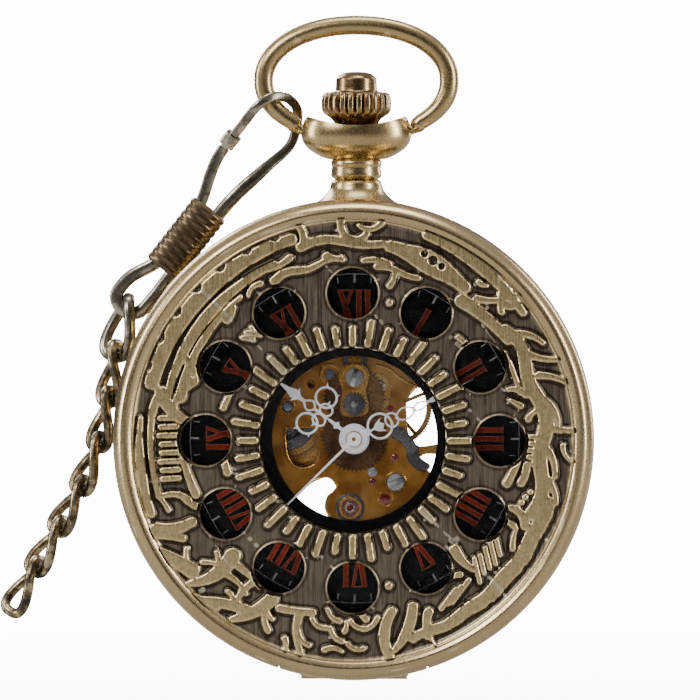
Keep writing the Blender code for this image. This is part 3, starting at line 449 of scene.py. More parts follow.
class Nodes(Tree):
    """A material's node tree."""

    def __init__(self, name):
        self.material = bpy.data.materials.new(name)
        self.material.use_nodes = True
        super().__init__(self.material.node_tree)
        self.shader = self.tree.nodes["Principled BSDF"]
        self.output = self.tree.nodes["Material Output"]

    def coordinates(self, scale=(1, 1, 1)):
        source = self.new("ShaderNodeTexCoord").outputs["Object"]
        mapping = self.new("ShaderNodeMapping")
        self.link(source, mapping.inputs["Vector"])
        mapping.inputs["Scale"].default_value = scale
        return mapping.outputs["Vector"]

    def noise(self, scale, detail=4, rough=0.55, stretch=(1, 1, 1)):
        node = self.new("ShaderNodeTexNoise")
        self.link(self.coordinates(stretch), node.inputs["Vector"])
        node.inputs["Scale"].default_value = scale
        node.inputs["Detail"].default_value = detail
        node.inputs["Roughness"].default_value = rough
        return node.outputs["Fac"]

    def ramp(self, value, low, high, out_low=0.0, out_high=1.0):
        node = self.new("ShaderNodeMapRange")
        node.interpolation_type = "SMOOTHSTEP"
        self.link(value, node.inputs["Value"])
        for key, number in (("From Min", low), ("From Max", high), ("To Min", out_low),
                            ("To Max", out_high)):
            node.inputs[key].default_value = number
        return node.outputs["Result"]

    def mix(self, factor, first, second):
        node = self.new("ShaderNodeMix", data_type="RGBA")
        self.link(factor, node.inputs[0])
        for value, socket in ((first, node.inputs[6]), (second, node.inputs[7])):
            self.link((*value, 1.0) if isinstance(value, tuple) else value, socket)
        return node.outputs[2]

    def math(self, operation, first, second=0.0, clamp=False):
        node = self.new("ShaderNodeMath", operation=operation, use_clamp=clamp)
        self.link(first, node.inputs[0])
        self.link(second, node.inputs[1])
        return node.outputs[0]

    def attribute(self, name):
        return self.new("ShaderNodeAttribute", attribute_name=name).outputs["Fac"]

    def pointiness(self):
        return self.new("ShaderNodeNewGeometry").outputs["Pointiness"]

    def bump(self, height, strength, distance, normal=None):
        node = self.new("ShaderNodeBump")
        self.link(height, node.inputs["Height"])
        node.inputs["Strength"].default_value = strength
        node.inputs["Distance"].default_value = distance
        if normal is not None:
            self.link(normal, node.inputs["Normal"])
        return node.outputs["Normal"]

    def set(self, **values):
        names = {"colour": "Base Color", "rough": "Roughness", "metal": "Metallic",
                 "normal": "Normal", "coat": "Coat Weight", "aniso": "Anisotropic",
                 "transmission": "Transmission Weight", "ior": "IOR",
                 "glow": "Emission Strength", "glow_colour": "Emission Color"}
        for key, value in values.items():
            value = (*value, 1.0) if isinstance(value, tuple) else value
            self.link(value, self.shader.inputs[names[key]])

    def done(self, slot):
        self.material["slot"] = slot
        return self.material


def metal(name, slot, tone, dark, edge, rough=0.28, grain=(1, 1, 1), grain_scale=4000,
          patina=0.3, patina_scale=500, wear=(0.52, 0.60), cavity=0.47, metallic=1.0, worn=True,
          glow=0.0):
    """Metal with a fine grain and a cloudy patina; where worn, its hollows are darker and its
    edges paler, and where not, it takes a little of the edge tone between the clouds."""
    n = Nodes(name)
    cloud = n.ramp(n.noise(patina_scale, 2, 0.5), 0.42, 0.68, 0.0, patina)
    fine = n.noise(grain_scale, 3, 0.6, stretch=grain)
    colour = n.mix(cloud, tone, dark)
    colour = n.mix(n.ramp(fine, 0.35, 0.7, 0.0, 0.05), colour, dark)
    if worn:
        point = n.pointiness()
        colour = n.mix(n.ramp(point, cavity, cavity - 0.06, 0.0, 0.8), colour,
                       tuple(0.35 * c for c in dark))
        colour = n.mix(n.ramp(point, wear[0], wear[1], 0.0, 0.7), colour, edge)
    else:
        colour = n.mix(n.ramp(cloud, 0.0, 0.08, 0.35, 0.0), colour, edge)
    roughness = n.math("ADD", n.ramp(fine, 0.3, 0.7, rough - 0.03, rough + 0.04),
                       n.math("MULTIPLY", cloud, 0.2))
    # Any glow is emission in the metal's own tone: painted light, not a lamp.
    n.set(colour=colour, metal=metallic, rough=roughness, glow=glow, glow_colour=tone,
          normal=n.bump(fine, 0.6, 0.0000003))
    return n.done(slot)


def relief_metal():
    """The lid's face: rubbed pale tops, brushed brown ground and painted shade as dark lines round the
    foot of the relief.
    """
    n = Nodes("lid_relief")
    brushed = n.noise(1300, 3, 0.55, stretch=(7.0, 1.0, 0.22))
    fine = n.noise(5200, 2, 0.6, stretch=(4.0, 1.0, 0.25))
    cloud = n.noise(170, 4, 0.6)
    ground = n.mix(n.ramp(brushed, 0.3, 0.72), (0.135, 0.103, 0.075), (0.32, 0.255, 0.185))
    ground = n.mix(n.ramp(cloud, 0.35, 0.7, 0.0, 0.55), ground, (0.28, 0.218, 0.152))
    ground = n.mix(n.ramp(fine, 0.4, 0.7, 0.0, 0.2), ground, (0.07, 0.05, 0.034))
    speck = n.noise(2600, 4, 0.65)
    top = n.mix(n.ramp(speck, 0.4, 0.7), (0.80, 0.62, 0.31), (0.60, 0.44, 0.20))
    top = n.mix(n.ramp(cloud, 0.55, 0.75, 0.0, 0.3), top, (0.38, 0.27, 0.13))
    height = n.attribute("relief")
    colour = n.mix(n.ramp(height, 0.35, 0.85), ground, top)
    # Painted shade: the line attribute darkens the ground along the foot of the relief and round the
    # holes' lips.
    colour = n.mix(n.attribute("line"), colour, (0.008, 0.0055, 0.004))
    colour = n.mix(n.ramp(n.pointiness(), 0.53, 0.58, 0.0, 0.6), colour, (0.95, 0.85, 0.62))
    roughness = n.math("ADD", n.ramp(height, 0.2, 0.9, 0.34, 0.29),
                       n.ramp(brushed, 0.3, 0.7, -0.06, 0.1))
    normal = n.bump(fine, 0.5, 0.000003, n.bump(brushed, 0.5, 0.000005))
    n.set(colour=colour, metal=1.0, rough=roughness, normal=normal)
    return n.done("antique_bronze")


def gilt(name, slot, tone, dark, edge, stripes=0.0, perlage=False, rough=0.3):
    """Gilded brass with a fine grain; stripes are wide polished waves, perlage is round graining."""
    n = Nodes(name)
    fine = n.noise(7000, 4, 0.65)
    cloud = n.noise(420, 2, 0.5)
    colour = n.mix(n.ramp(cloud, 0.35, 0.7), tone, dark)
    colour = n.mix(n.ramp(fine, 0.4, 0.7, 0.0, 0.08), colour, dark)
    rise = fine
    depth = 0.0000006
    if stripes:
        wave = n.new("ShaderNodeTexWave", wave_type="BANDS", bands_direction="X",
                     wave_profile="SIN")
        vector = n.coordinates()
        turn = n.new("ShaderNodeVectorRotate", rotation_type="Y_AXIS")
        n.link(vector, turn.inputs["Vector"])
        turn.inputs["Angle"].default_value = radians(38)
        n.link(turn.outputs["Vector"], wave.inputs["Vector"])
        wave.inputs["Scale"].default_value = stripes
        band = wave.outputs["Fac"]
        colour = n.mix(n.ramp(band, 0.0, 1.0, 0.0, 0.45), colour, edge)
        rise, depth = band, 0.0002
    if perlage:
        cells = n.new("ShaderNodeTexVoronoi", feature="F1")
        cells.inputs["Scale"].default_value = 1300
        cells.inputs["Randomness"].default_value = 0.25
        n.link(n.coordinates((1, 0.001, 1)), cells.inputs["Vector"])
        rings = n.math("SINE", n.math("MULTIPLY", cells.outputs["Distance"], 24.0))
        colour = n.mix(n.ramp(rings, -1.0, 1.0, 0.0, 0.7), colour, edge)
        rise, depth = rings, 0.00003
    sheen = n.noise(140, 2, 0.5)
    colour = n.mix(n.ramp(sheen, 0.5, 0.68, 0.0, 0.3), colour, edge)
    n.set(colour=colour, metal=1.0, rough=n.ramp(fine, 0.3, 0.7, rough - 0.05, rough + 0.1),
          normal=n.bump(rise, 0.5, depth))
    return n.done(slot)


def enamel(name, slot, tone):
    """A glossy dark surface with faint dust and polishing marks."""
    n = Nodes(name)
    dust = n.noise(9000, 2, 0.5)
    sweep_marks = n.noise(700, 3, 0.5)
    colour = n.mix(n.ramp(dust, 0.66, 0.78, 0.0, 0.6), tone, (0.02, 0.02, 0.024))
    n.set(colour=colour, rough=n.ramp(sweep_marks, 0.3, 0.7, 0.12, 0.22), coat=0.0, ior=1.22,
          normal=n.bump(sweep_marks, 0.1, 0.000001))
    return n.done(slot)


def glass(name, tint, strength=0.7):
    """Clear glass that reflects at its surface and lets everything behind it through."""
    n = Nodes(name)
    n.tree.nodes.remove(n.shader)
    clear = n.new("ShaderNodeBsdfTransparent")
    clear.inputs["Color"].default_value = (*tint, 1.0)
    gloss = n.new("ShaderNodeBsdfGlossy")
    smudge = n.noise(160, 4, 0.6)
    n.link(n.ramp(smudge, 0.35, 0.75, 0.015, 0.07), gloss.inputs["Roughness"])
    n.link(n.bump(n.noise(60, 2, 0.5), 0.1, 0.00002), gloss.inputs["Normal"])
    fresnel = n.new("ShaderNodeFresnel")
    fresnel.inputs["IOR"].default_value = 1.45
    mix = n.new("ShaderNodeMixShader")
    n.link(n.math("MULTIPLY", fresnel.outputs[0], strength, clamp=True), mix.inputs[0])
    n.link(clear.outputs[0], mix.inputs[1])
    n.link(gloss.outputs[0], mix.inputs[2])
    n.link(mix.outputs[0], n.output.inputs["Surface"])
    return n.done("glass")


def jewel_red():
    n = Nodes("ruby")
    vein = n.noise(3500, 4, 0.6)
    n.set(colour=n.mix(n.ramp(vein, 0.35, 0.7), (0.13, 0.002, 0.006), (0.34, 0.012, 0.01)),
          rough=n.ramp(vein, 0.3, 0.7, 0.04, 0.12), coat=1.0, ior=1.76,
          normal=n.bump(vein, 0.1, 0.000003))
    return n.done("ruby")


def print_ink(name, tone, dark, slot):
    n = Nodes(name)
    mottled = n.noise(5000, 4, 0.6)
    n.set(colour=n.mix(n.ramp(mottled, 0.35, 0.7), tone, dark), metal=0.55,
          rough=n.ramp(mottled, 0.3, 0.7, 0.3, 0.45), normal=n.bump(mottled, 0.2, 0.000004))
    return n.done(slot)


def make_materials():
    m = {}
    m["relief"] = relief_metal()
    m["bronze"] = metal("bronze_satin", "antique_bronze", (0.52, 0.38, 0.18), (0.30, 0.205, 0.095),
                        (0.88, 0.72, 0.42), 0.25, grain=(1, 1, 1), patina_scale=160)
    m["bronze_rim"] = metal("bronze_rim", "antique_bronze", (0.55, 0.41, 0.21),
                            (0.33, 0.235, 0.115), (0.88, 0.74, 0.45), 0.24, patina_scale=110,
                            grain_scale=3500)
    # A darker copy of the bronze for the lid's lining, the walls of its openings and the front bezel
    # under it: painted shade.
    m["bronze_dark"] = metal("bronze_inner_painted_shade", "antique_bronze", (0.12, 0.085, 0.045),
                             (0.04, 0.028, 0.018), (0.4, 0.30, 0.16), 0.38)
    m["crown"] = metal("bronze_crown", "antique_bronze", (0.32, 0.215, 0.105), (0.08, 0.05, 0.028),
                       (0.88, 0.74, 0.48), 0.24, patina=0.5, patina_scale=700, cavity=0.485)
    m["chain"] = metal("chain_metal", "aged_chain_metal", (0.27, 0.205, 0.115),
                       (0.05, 0.04, 0.032), (0.80, 0.68, 0.44), 0.25, patina=0.95,
                       patina_scale=900, worn=False)
    m["clasp"] = metal("clasp_metal", "aged_chain_metal", (0.30, 0.265, 0.20),
                       (0.06, 0.052, 0.045), (0.82, 0.74, 0.56), 0.23, patina=0.7,
                       patina_scale=600, worn=False)
    m["sleeve"] = metal("sleeve_metal", "aged_chain_metal", (0.17, 0.12, 0.07),
                        (0.03, 0.022, 0.015), (0.70, 0.57, 0.34), 0.3, patina=0.6,
                        patina_scale=700, wear=(0.52, 0.58), cavity=0.49)
    m["steel"] = metal("steel_polished", "polished_steel", (0.50, 0.50, 0.51),
                       (0.26, 0.26, 0.28), (0.9, 0.9, 0.92), 0.18, patina=0.08, worn=False)
    m["dark_steel"] = metal("steel_dark", "spring_steel", (0.16, 0.15, 0.165),
                            (0.07, 0.065, 0.075), (0.42, 0.40, 0.42), 0.26, grain=(1, 1, 6), worn=False)
    m["blue_steel"] = metal("steel_grey_blue", "spring_steel", (0.22, 0.25, 0.30),
                            (0.10, 0.11, 0.14), (0.45, 0.48, 0.52), 0.3, worn=False)
    # The hands glow a little (glow=0.16): painted light that brightens them beyond what the lamps give.
    m["silver"] = metal("hand_silver", "hand_silver", (0.92, 0.92, 0.95), (0.80, 0.80, 0.84),
                        (0.97, 0.97, 1.0), 0.34, patina=0.2, patina_scale=900, metallic=0.2,
                        worn=False, glow=0.16)
    m["plate"] = gilt("gilt_plate", "gilt_plate", (0.58, 0.27, 0.06), (0.30, 0.115, 0.02),
                      (0.92, 0.62, 0.28), rough=0.33)
    m["gold"] = gilt("gilt_raised", "gilt_plate", (0.72, 0.38, 0.10), (0.42, 0.18, 0.035),
                     (0.98, 0.76, 0.40), rough=0.24)
    m["bridge"] = gilt("gilt_striped", "gilt_plate", (0.66, 0.33, 0.085), (0.50, 0.23, 0.055),
                       (0.93, 0.60, 0.24), stripes=150, rough=0.2)
    m["perlage"] = gilt("gilt_perlage", "gilt_plate", (0.62, 0.34, 0.12), (0.42, 0.21, 0.06),
                        (0.88, 0.60, 0.30), perlage=True, rough=0.3)
    m["wheel"] = gilt("gilt_wheel", "gilt_wheel", (0.74, 0.44, 0.15), (0.46, 0.23, 0.06),
                      (0.98, 0.78, 0.42), rough=0.24)
    m["wheel_dark"] = gilt("bronze_wheel", "gilt_wheel", (0.20, 0.105, 0.05),
                           (0.09, 0.045, 0.022), (0.72, 0.45, 0.22), rough=0.28)
    m["dial"] = enamel("dial_black", "dial_black", (0.003, 0.003, 0.004))
    m["numeral"] = print_ink("numeral_red", (0.50, 0.045, 0.016), (0.30, 0.02, 0.008),
                             "dial_black")
    # The copper outline round each numeral is partly print and partly painted highlight, standing in
    # for the copper glint on the glossy numerals.
    m["numeral_edge"] = print_ink("numeral_copper_and_painted_highlight", (0.70, 0.17, 0.07), (0.40, 0.08, 0.035),
                                  "dial_black")
    m["tick"] = print_ink("minute_mark", (0.75, 0.75, 0.78), (0.5, 0.5, 0.53), "dial_black")
    m["crystal"] = glass("crystal_glass", (0.985, 0.985, 0.985), 0.3)
    m["back_glass"] = glass("back_glass", (0.98, 0.985, 0.985), 0.6)
    m["ruby"] = jewel_red()
    return m


M = make_materials()


# The lid


class Relief:
    """Generic scroll ornament: tapering strokes, short bars, beads and bites taken out of them."""

    def __init__(self):
        self.strokes = []
        self.bites = []

    def stroke(self, points, widths):
        points = np.asarray(points, float)
        radius = np.hypot(points[:, 0], points[:, 1])
        pushed = SPREAD_FROM + SPREAD * (radius - SPREAD_FROM)
        wider = np.where(radius > SPREAD_FROM, pushed / radius, 1.0)
        self.strokes.append((points * wider[:, None], np.asarray(widths, float) + BROADER))

    def arc(self, start, end, r_start, r_end, half, half_end=None, wave=0.0, waves=2.0, bulge=0.0):
        """A band that follows the rim between two clock angles."""
        count = max(8, int(abs(end - start) / 2.5))
        t = np.linspace(0, 1, count)
        radius = r_start + (r_end - r_start) * t + wave * np.sin(2 * pi * waves * t)
        points = [polar(start + (end - start) * s, r) for s, r in zip(t, radius)]
        last = half if half_end is None else half_end
        self.stroke(points, half + (last - half) * t + bulge * np.sin(pi * t) ** 2)

    def swoop(self, clock, radius, heading, length, bend, half, half_end=0.12, bulge=0.0):
        """A stroke that starts at a point and turns steadily; heading 0 is clockwise, 90 outward."""
        count = 12
        a = radians(clock)
        along, out = np.array([cos(a), -sin(a)]), np.array([sin(a), cos(a)])
        spot = np.array(polar(clock, radius))
        points, widths = [spot.copy()], [half]
        for i in range(1, count + 1):
            t = i / count
            angle = radians(heading + bend * t)
            spot = spot + (cos(angle) * along + sin(angle) * out) * length / count
            points.append(spot.copy())
            widths.append(half + (half_end - half) * t + bulge * sin(pi * t))
        self.stroke(points, widths)

    def ladder(self, clock, radius, count, pitch, length, lean=0.0, half=0.2):
        """Short parallel bars stacked along the rim direction."""
        a = radians(clock)
        along, out = np.array([cos(a), -sin(a)]), np.array([sin(a), cos(a)])
        bar = cos(radians(lean)) * out + sin(radians(lean)) * along
        for i in range(count):
            middle = np.array(polar(clock, radius)) + along * pitch * (i - (count - 1) / 2)
            reach = length / 2 * (0.86 + 0.14 * sin(2.1 * i + clock))
            self.stroke([middle - bar * reach, middle, middle + bar * reach], [half] * 3)

    def bead(self, clock, radius, half=0.22):
        x, y = polar(clock, radius)
        self.stroke([(x, y), (x + 0.01, y)], [half, half])

    def bite(self, clock, radius, half):
        self.bites.append((polar(clock, SPREAD_FROM + SPREAD * (radius - SPREAD_FROM)), half))

    def scallops(self, start, end, radius, count, half):
        for i in range(count):
            self.bite(start + (end - start) * i / (count - 1), radius, half)

    def field(self, x, y):
        """How far inside a raised stroke each point lies, in millimetres; negative is outside."""
        inside = np.full(len(x), -5.0)
        for points, widths in self.strokes:
            reach = widths.max() + 1.0
            low, high = points.min(0) - reach, points.max(0) + reach
            near = np.nonzero((x > low[0]) & (x < high[0]) & (y > low[1]) & (y < high[1]))[0]
            if not len(near):
                continue
            px, py = x[near], y[near]
            best = np.full(len(near), -5.0)
            for a, b, wa, wb in zip(points[:-1], points[1:], widths[:-1], widths[1:]):
                d = b - a
                t = np.clip(((px - a[0]) * d[0] + (py - a[1]) * d[1]) / max(d @ d, 1e-12), 0, 1)
                gap = np.hypot(px - a[0] - t * d[0], py - a[1] - t * d[1])
                best = np.maximum(best, wa + (wb - wa) * t - gap)
            inside[near] = np.maximum(inside[near], best)
        for (bx, by), half in self.bites:
            inside = np.minimum(inside, np.hypot(x - bx, y - by) - half)
        return inside


def hole_distance(x, y):
    """Distance to the centre of the nearest of the twelve holes."""
    step = pi / 6
    a = np.arctan2(x, y)
    nearest = np.round(a / step) * step
    return np.hypot(x - HOLE_RING_R * np.sin(nearest), y - HOLE_RING_R * np.cos(nearest))


def lid_ornament():
    """The ornament sector by sector, clockwise from the upper left, and the bars round the window."""
    r = Relief()
    # Upper left: two sweeping bands under a scalloped border
    r.arc(286, 343, 19.95, 20.05, 0.62, 0.5, bulge=0.2)
    r.scallops(290, 339, 20.95, 7, 0.62)
    r.arc(281, 336, 18.35, 18.55, 0.28, 0.3, bulge=0.22)
    r.arc(284, 322, 17.25, 17.65, 0.5, 0.16)
    r.swoop(284, 19.0, 205, 5.2, 70, 0.5, 0.14, 0.15)
    r.swoop(294, 15.6, 120, 3.0, -95, 0.42, 0.16)
    r.swoop(278, 17.6, 10, 4.0, -60, 0.22, 0.4)
    r.ladder(318.5, 14.2, 4, 0.72, 1.5, lean=-38, half=0.17)
    r.swoop(341, 18.6, 200, 2.6, -20, 0.32, 0.12)
    # Top
    r.arc(334, 357, 17.3, 17.55, 0.4, 0.16, wave=0.22, waves=1.5)
    r.arc(345, 369, 19.2, 19.1, 0.42, 0.3, wave=0.28, waves=1.0)
    r.swoop(346, 19.4, 60, 2.2, 75, 0.34, 0.2)
    r.swoop(357, 20.9, 250, 3.6, 150, 0.3, 0.28)
    r.swoop(352, 18.0, 320, 1.5, 60, 0.36, 0.1)
    r.swoop(7.5, 20.8, 235, 2.3, -80, 0.26, 0.14)
    r.swoop(3.5, 17.5, 15, 2.5, -35, 0.2, 0.26)
    # Upper right: a pierced leaf, an outer band and a hook
    r.arc(11, 36, 19.0, 18.3, 0.5, 0.55, bulge=0.55)
    for clock, radius, half in ((21, 19.2, 0.32), (24, 18.95, 0.42), (27, 18.8, 0.3)):
        r.bite(clock, radius, half)
    r.arc(20, 53, 20.75, 20.3, 0.4, 0.3, bulge=0.2)
    r.swoop(50, 20.1, 265, 2.6, -190, 0.3, 0.22)
    r.swoop(41, 18.2, 20, 4.2, 45, 0.28, 0.14)
    r.arc(8, 22, 17.1, 17.05, 0.26, 0.2, wave=0.12, waves=1)
    r.arc(38, 57, 17.25, 17.9, 0.62, 0.4)
    r.bead(15, 13.9, 0.26)
    r.swoop(13.5, 15.5, 60, 1.7, 50, 0.24, 0.14)
    r.swoop(45.5, 14.4, 5, 0.7, 0, 0.2, 0.18)
    # Right: a trunk with prongs towards the rim
    r.arc(54, 112, 18.2, 18.6, 0.5, 0.62, wave=0.35, waves=2.5, bulge=0.12)
    for i, clock in enumerate((57, 64, 70.5, 78, 86, 93, 101)):
        r.swoop(clock, 18.9, (58, 35, 70, 40, 64, 30, 55)[i], 2.5, (-45, 30, -30)[i % 3], 0.3, 0.18)
    r.arc(60, 74, 17.1, 16.95, 0.16, 0.16)
    r.swoop(75, 17.4, 205, 1.8, 60, 0.3, 0.16)
    r.swoop(83, 17.2, 160, 1.5, -60, 0.24, 0.14)
    r.ladder(93, 17.55, 5, 0.66, 1.05, half=0.17)
    r.swoop(104, 16.9, 160, 1.8, 30, 0.34, 0.3)
    # Lower right: beads, slanted bars and a notched border
    for clock, radius in ((106, 17.9), (108, 17.6), (110, 17.45), (112, 17.25), (113.5, 17.6)):
        r.bead(clock, radius, 0.2)
    r.swoop(105.5, 15.6, 165, 2.6, 10, 0.34, 0.26)
    r.swoop(108, 19.1, 215, 2.4, -70, 0.34, 0.28)
    r.swoop(116, 18.5, 200, 2.2, 80, 0.42, 0.24)
    r.arc(108, 163, 19.55, 19.7, 0.7, 0.4, wave=0.1, waves=4, bulge=0.15)
    r.scallops(113, 160, 20.75, 8, 0.55)
    r.ladder(131, 17.35, 5, 0.78, 2.2, lean=38, half=0.16)
    r.ladder(146.5, 17.9, 3, 0.7, 2.7, lean=72, half=0.18)
    r.swoop(137, 14.6, 75, 2.6, 30, 0.5, 0.2)
    r.bead(166, 14.6, 0.3)
    # Bottom: waves and small curls
    r.swoop(160, 17.2, 65, 4.4, -40, 0.42, 0.2, 0.15)
    r.swoop(156, 18.1, 40, 3.2, 60, 0.4, 0.22)
    r.swoop(167, 17.1, 35, 4.6, 75, 0.4, 0.3, 0.12)
    r.swoop(172, 17.4, 60, 1.8, -60, 0.2, 0.2)
    r.bead(163, 19.9, 0.26)
    for clock, radius, heading in ((176, 18.2, 10), (183, 19.3, -5), (177, 19.9, 20), (188, 18.3, 15),
                                   (192, 20.0, 0), (184, 17.6, 0)):
        r.swoop(clock, radius, heading, 1.7, -70, 0.2, 0.16)
    r.swoop(197, 17.5, 85, 3.5, 45, 0.36, 0.22)
    r.swoop(193, 17.2, 10, 3.3, -10, 0.28, 0.3)
    r.swoop(204, 19.9, 330, 2.4, -60, 0.26, 0.14)
    # Lower left: sweeping leaves
    r.swoop(207, 17.3, 70, 4.0, -35, 0.62, 0.26, 0.1)
    r.swoop(212, 19.2, 10, 6.0, 20, 0.42, 0.2, 0.12)
    r.swoop(215, 16.9, 60, 2.6, 50, 0.3, 0.22)
    r.swoop(226, 16.3, 110, 4.6, -60, 0.75, 0.24, 0.1)
    r.swoop(222, 16.6, 190, 2.9, -25, 0.3, 0.12)
    r.swoop(224, 17.9, 200, 3.0, -35, 0.26, 0.12)
    r.swoop(231, 19.8, 15, 4.8, 10, 0.72, 0.3)
    r.swoop(243, 17.5, 95, 3.2, -40, 0.42, 0.6)
    r.swoop(240, 18.9, 40, 4.6, 25, 0.3, 0.5)
    r.swoop(246, 16.1, 60, 2.6, -50, 0.3, 0.14)
    r.swoop(219, 20.5, 10, 3.0, 0, 0.3, 0.14)
    # Left: a ladder between two long bars
    r.ladder(267.5, 17.75, 8, 0.84, 1.75, half=0.2)
    r.arc(254, 279, 19.35, 19.4, 0.22, 0.24)
    r.arc(250, 276, 20.45, 20.3, 0.34, 0.16, bulge=0.16)
    r.arc(251, 271, 16.15, 16.85, 0.36, 0.16)
    r.swoop(250, 17.0, 25, 2.4, 60, 0.24, 0.2)
    r.swoop(277, 19.4, 0, 2.5, -30, 0.3, 0.45)
    r.swoop(255.5, 12.6, 0, 1.8, 10, 0.3, 0.3)
    r.swoop(284, 13.0, 350, 1.7, 0, 0.22, 0.2)
    r.swoop(314, 17.0, 5, 1.2, 20, 0.4, 0.3)
    add_fillers(r)
    for i in range(40):
        reach = 10.95 + 0.36 * ((i * 5) % 3)
        r.stroke([polar(9 * i, 9.52), polar(9 * i, reach)], [0.26, 0.24])
    return r


def add_fillers(relief):
    """Small commas and short strokes in the bare spots of the outer ring."""
    tries = 900
    clock, radius = RNG.uniform(0, 360, tries), RNG.uniform(16.7, 20.3, tries)
    x, y = radius * np.sin(np.radians(clock)), radius * np.cos(np.radians(clock))
    free = (relief.field(x, y) < -0.55) & (hole_distance(x, y) > 3.15)
    taken = []
    for i in np.nonzero(free)[0]:
        if any(hypot(x[i] - u, y[i] - v) < 1.4 for u, v in taken):
            continue
        taken.append((x[i], y[i]))
        heading = RNG.choice((0, 180)) + RNG.normal(0, 38)
        relief.swoop(clock[i], radius[i], heading, RNG.uniform(0.8, 2.0), RNG.uniform(-80, 80),
                     RNG.uniform(0.14, 0.27), 0.1)


def smoothstep(t):
    t = np.clip(t, 0, 1)
    return t * t * (3 - 2 * t)


def lid_grid(hole_rings, inner_rings, outer_rings, inner_count, side_count, outer_count, r_out):
    """(x, y, faces) of the lid's face: twelve patches, each with a round hole, and plain rings."""
    r_in, r_mid = 11.55, 17.15
    half = pi / 12
    points, faces = [], []
    total = 0
    for hour in range(12):
        turn = hour * pi / 6
        inner = [(r_in, -half + 2 * half * i / inner_count) for i in range(inner_count)]
        right = [(r_in + (r_mid - r_in) * i / side_count, half) for i in range(side_count)]
        outer = [(r_mid, half - 2 * half * i / outer_count) for i in range(outer_count)]
        left = [(r_mid - (r_mid - r_in) * i / side_count, -half) for i in range(side_count)]
        border = np.array([(r * sin(a + turn), r * cos(a + turn))
                           for r, a in inner + right + outer + left])
        centre = HOLE_RING_R * np.array([sin(turn), cos(turn)])
        out = border - centre
        rim = centre + out / np.linalg.norm(out, axis=1)[:, None] * HOLE_R
        t = (np.arange(hole_rings + 1) / hole_rings) ** 1.15
        grid = rim[None] + (border - rim)[None] * t[:, None, None]
        points.append(grid.reshape(-1, 2))
        faces.append(grid_faces(hole_rings + 1, len(border), False, True) + total)
        total += grid.size // 2
    for low, high, rings, count in ((WINDOW_R, r_in, inner_rings, 12 * inner_count),
                                    (r_mid, r_out, outer_rings, 12 * outer_count)):
        a = -half + 2 * pi * np.arange(count) / count
        radius = np.linspace(low, high, rings + 1)
        grid = np.stack([radius[:, None] * np.sin(a), radius[:, None] * np.cos(a)], -1)
        points.append(grid.reshape(-1, 2))
        faces.append(grid_faces(rings + 1, count, False, True) + total)
        total += grid.size // 2
    xy = np.concatenate(points)
    return xy[:, 0], xy[:, 1], np.concatenate(faces)


def lid_face():
    """The open-worked face, its ornament raised by displacing a fine grid."""
    fine = 1
    x, y, faces = lid_grid(20 // fine, 22 // fine, 36 // fine, 48 // fine, 36 // fine, 80 // fine,
                           RELIEF_R)
    hole = hole_distance(x, y)
    radius = np.hypot(x, y)
    inside = np.minimum(lid_ornament().field(x, y), hole - HOLE_R - 0.32)
    raised = smoothstep(inside / 0.22 + 0.5)
    lip = smoothstep((0.12 - np.abs(hole - HOLE_R - 0.08)) / 0.08)
    lip = np.maximum(lip, smoothstep((0.13 - np.abs(radius - WINDOW_R - 0.12)) / 0.1))
    edge = smoothstep((radius - RELIEF_R + 0.35) / 0.35)
    grain = 0.012 * np.sin(3.1 * x + 1.7 * np.sin(0.9 * y)) * np.sin(2.3 * y + x)
    rise = np.maximum.reduce([raised, 0.3 * lip, 0.55 * edge]) + grain * (1 - raised)
    height = RELIEF_FLOOR + (RELIEF_TOP - RELIEF_FLOOR) * rise
    # Painted shade: a dark line in the ground along the foot of each stroke and round each hole's lip.
    line = 0.92 * np.exp(-((inside + 0.2) / 0.15) ** 2)
    line = np.maximum(line, 0.6 * np.exp(-((hole - HOLE_R - 0.34) / 0.14) ** 2) * (raised < 0.3))
    tone = np.maximum.reduce([raised, 0.55 * lip, edge])
    new_object("lid_face", np.stack([x, y, height], 1), faces, M["relief"], "lid", ("lid",),
               angle=60, attributes={"relief": tone, "line": line * (1 - edge)})


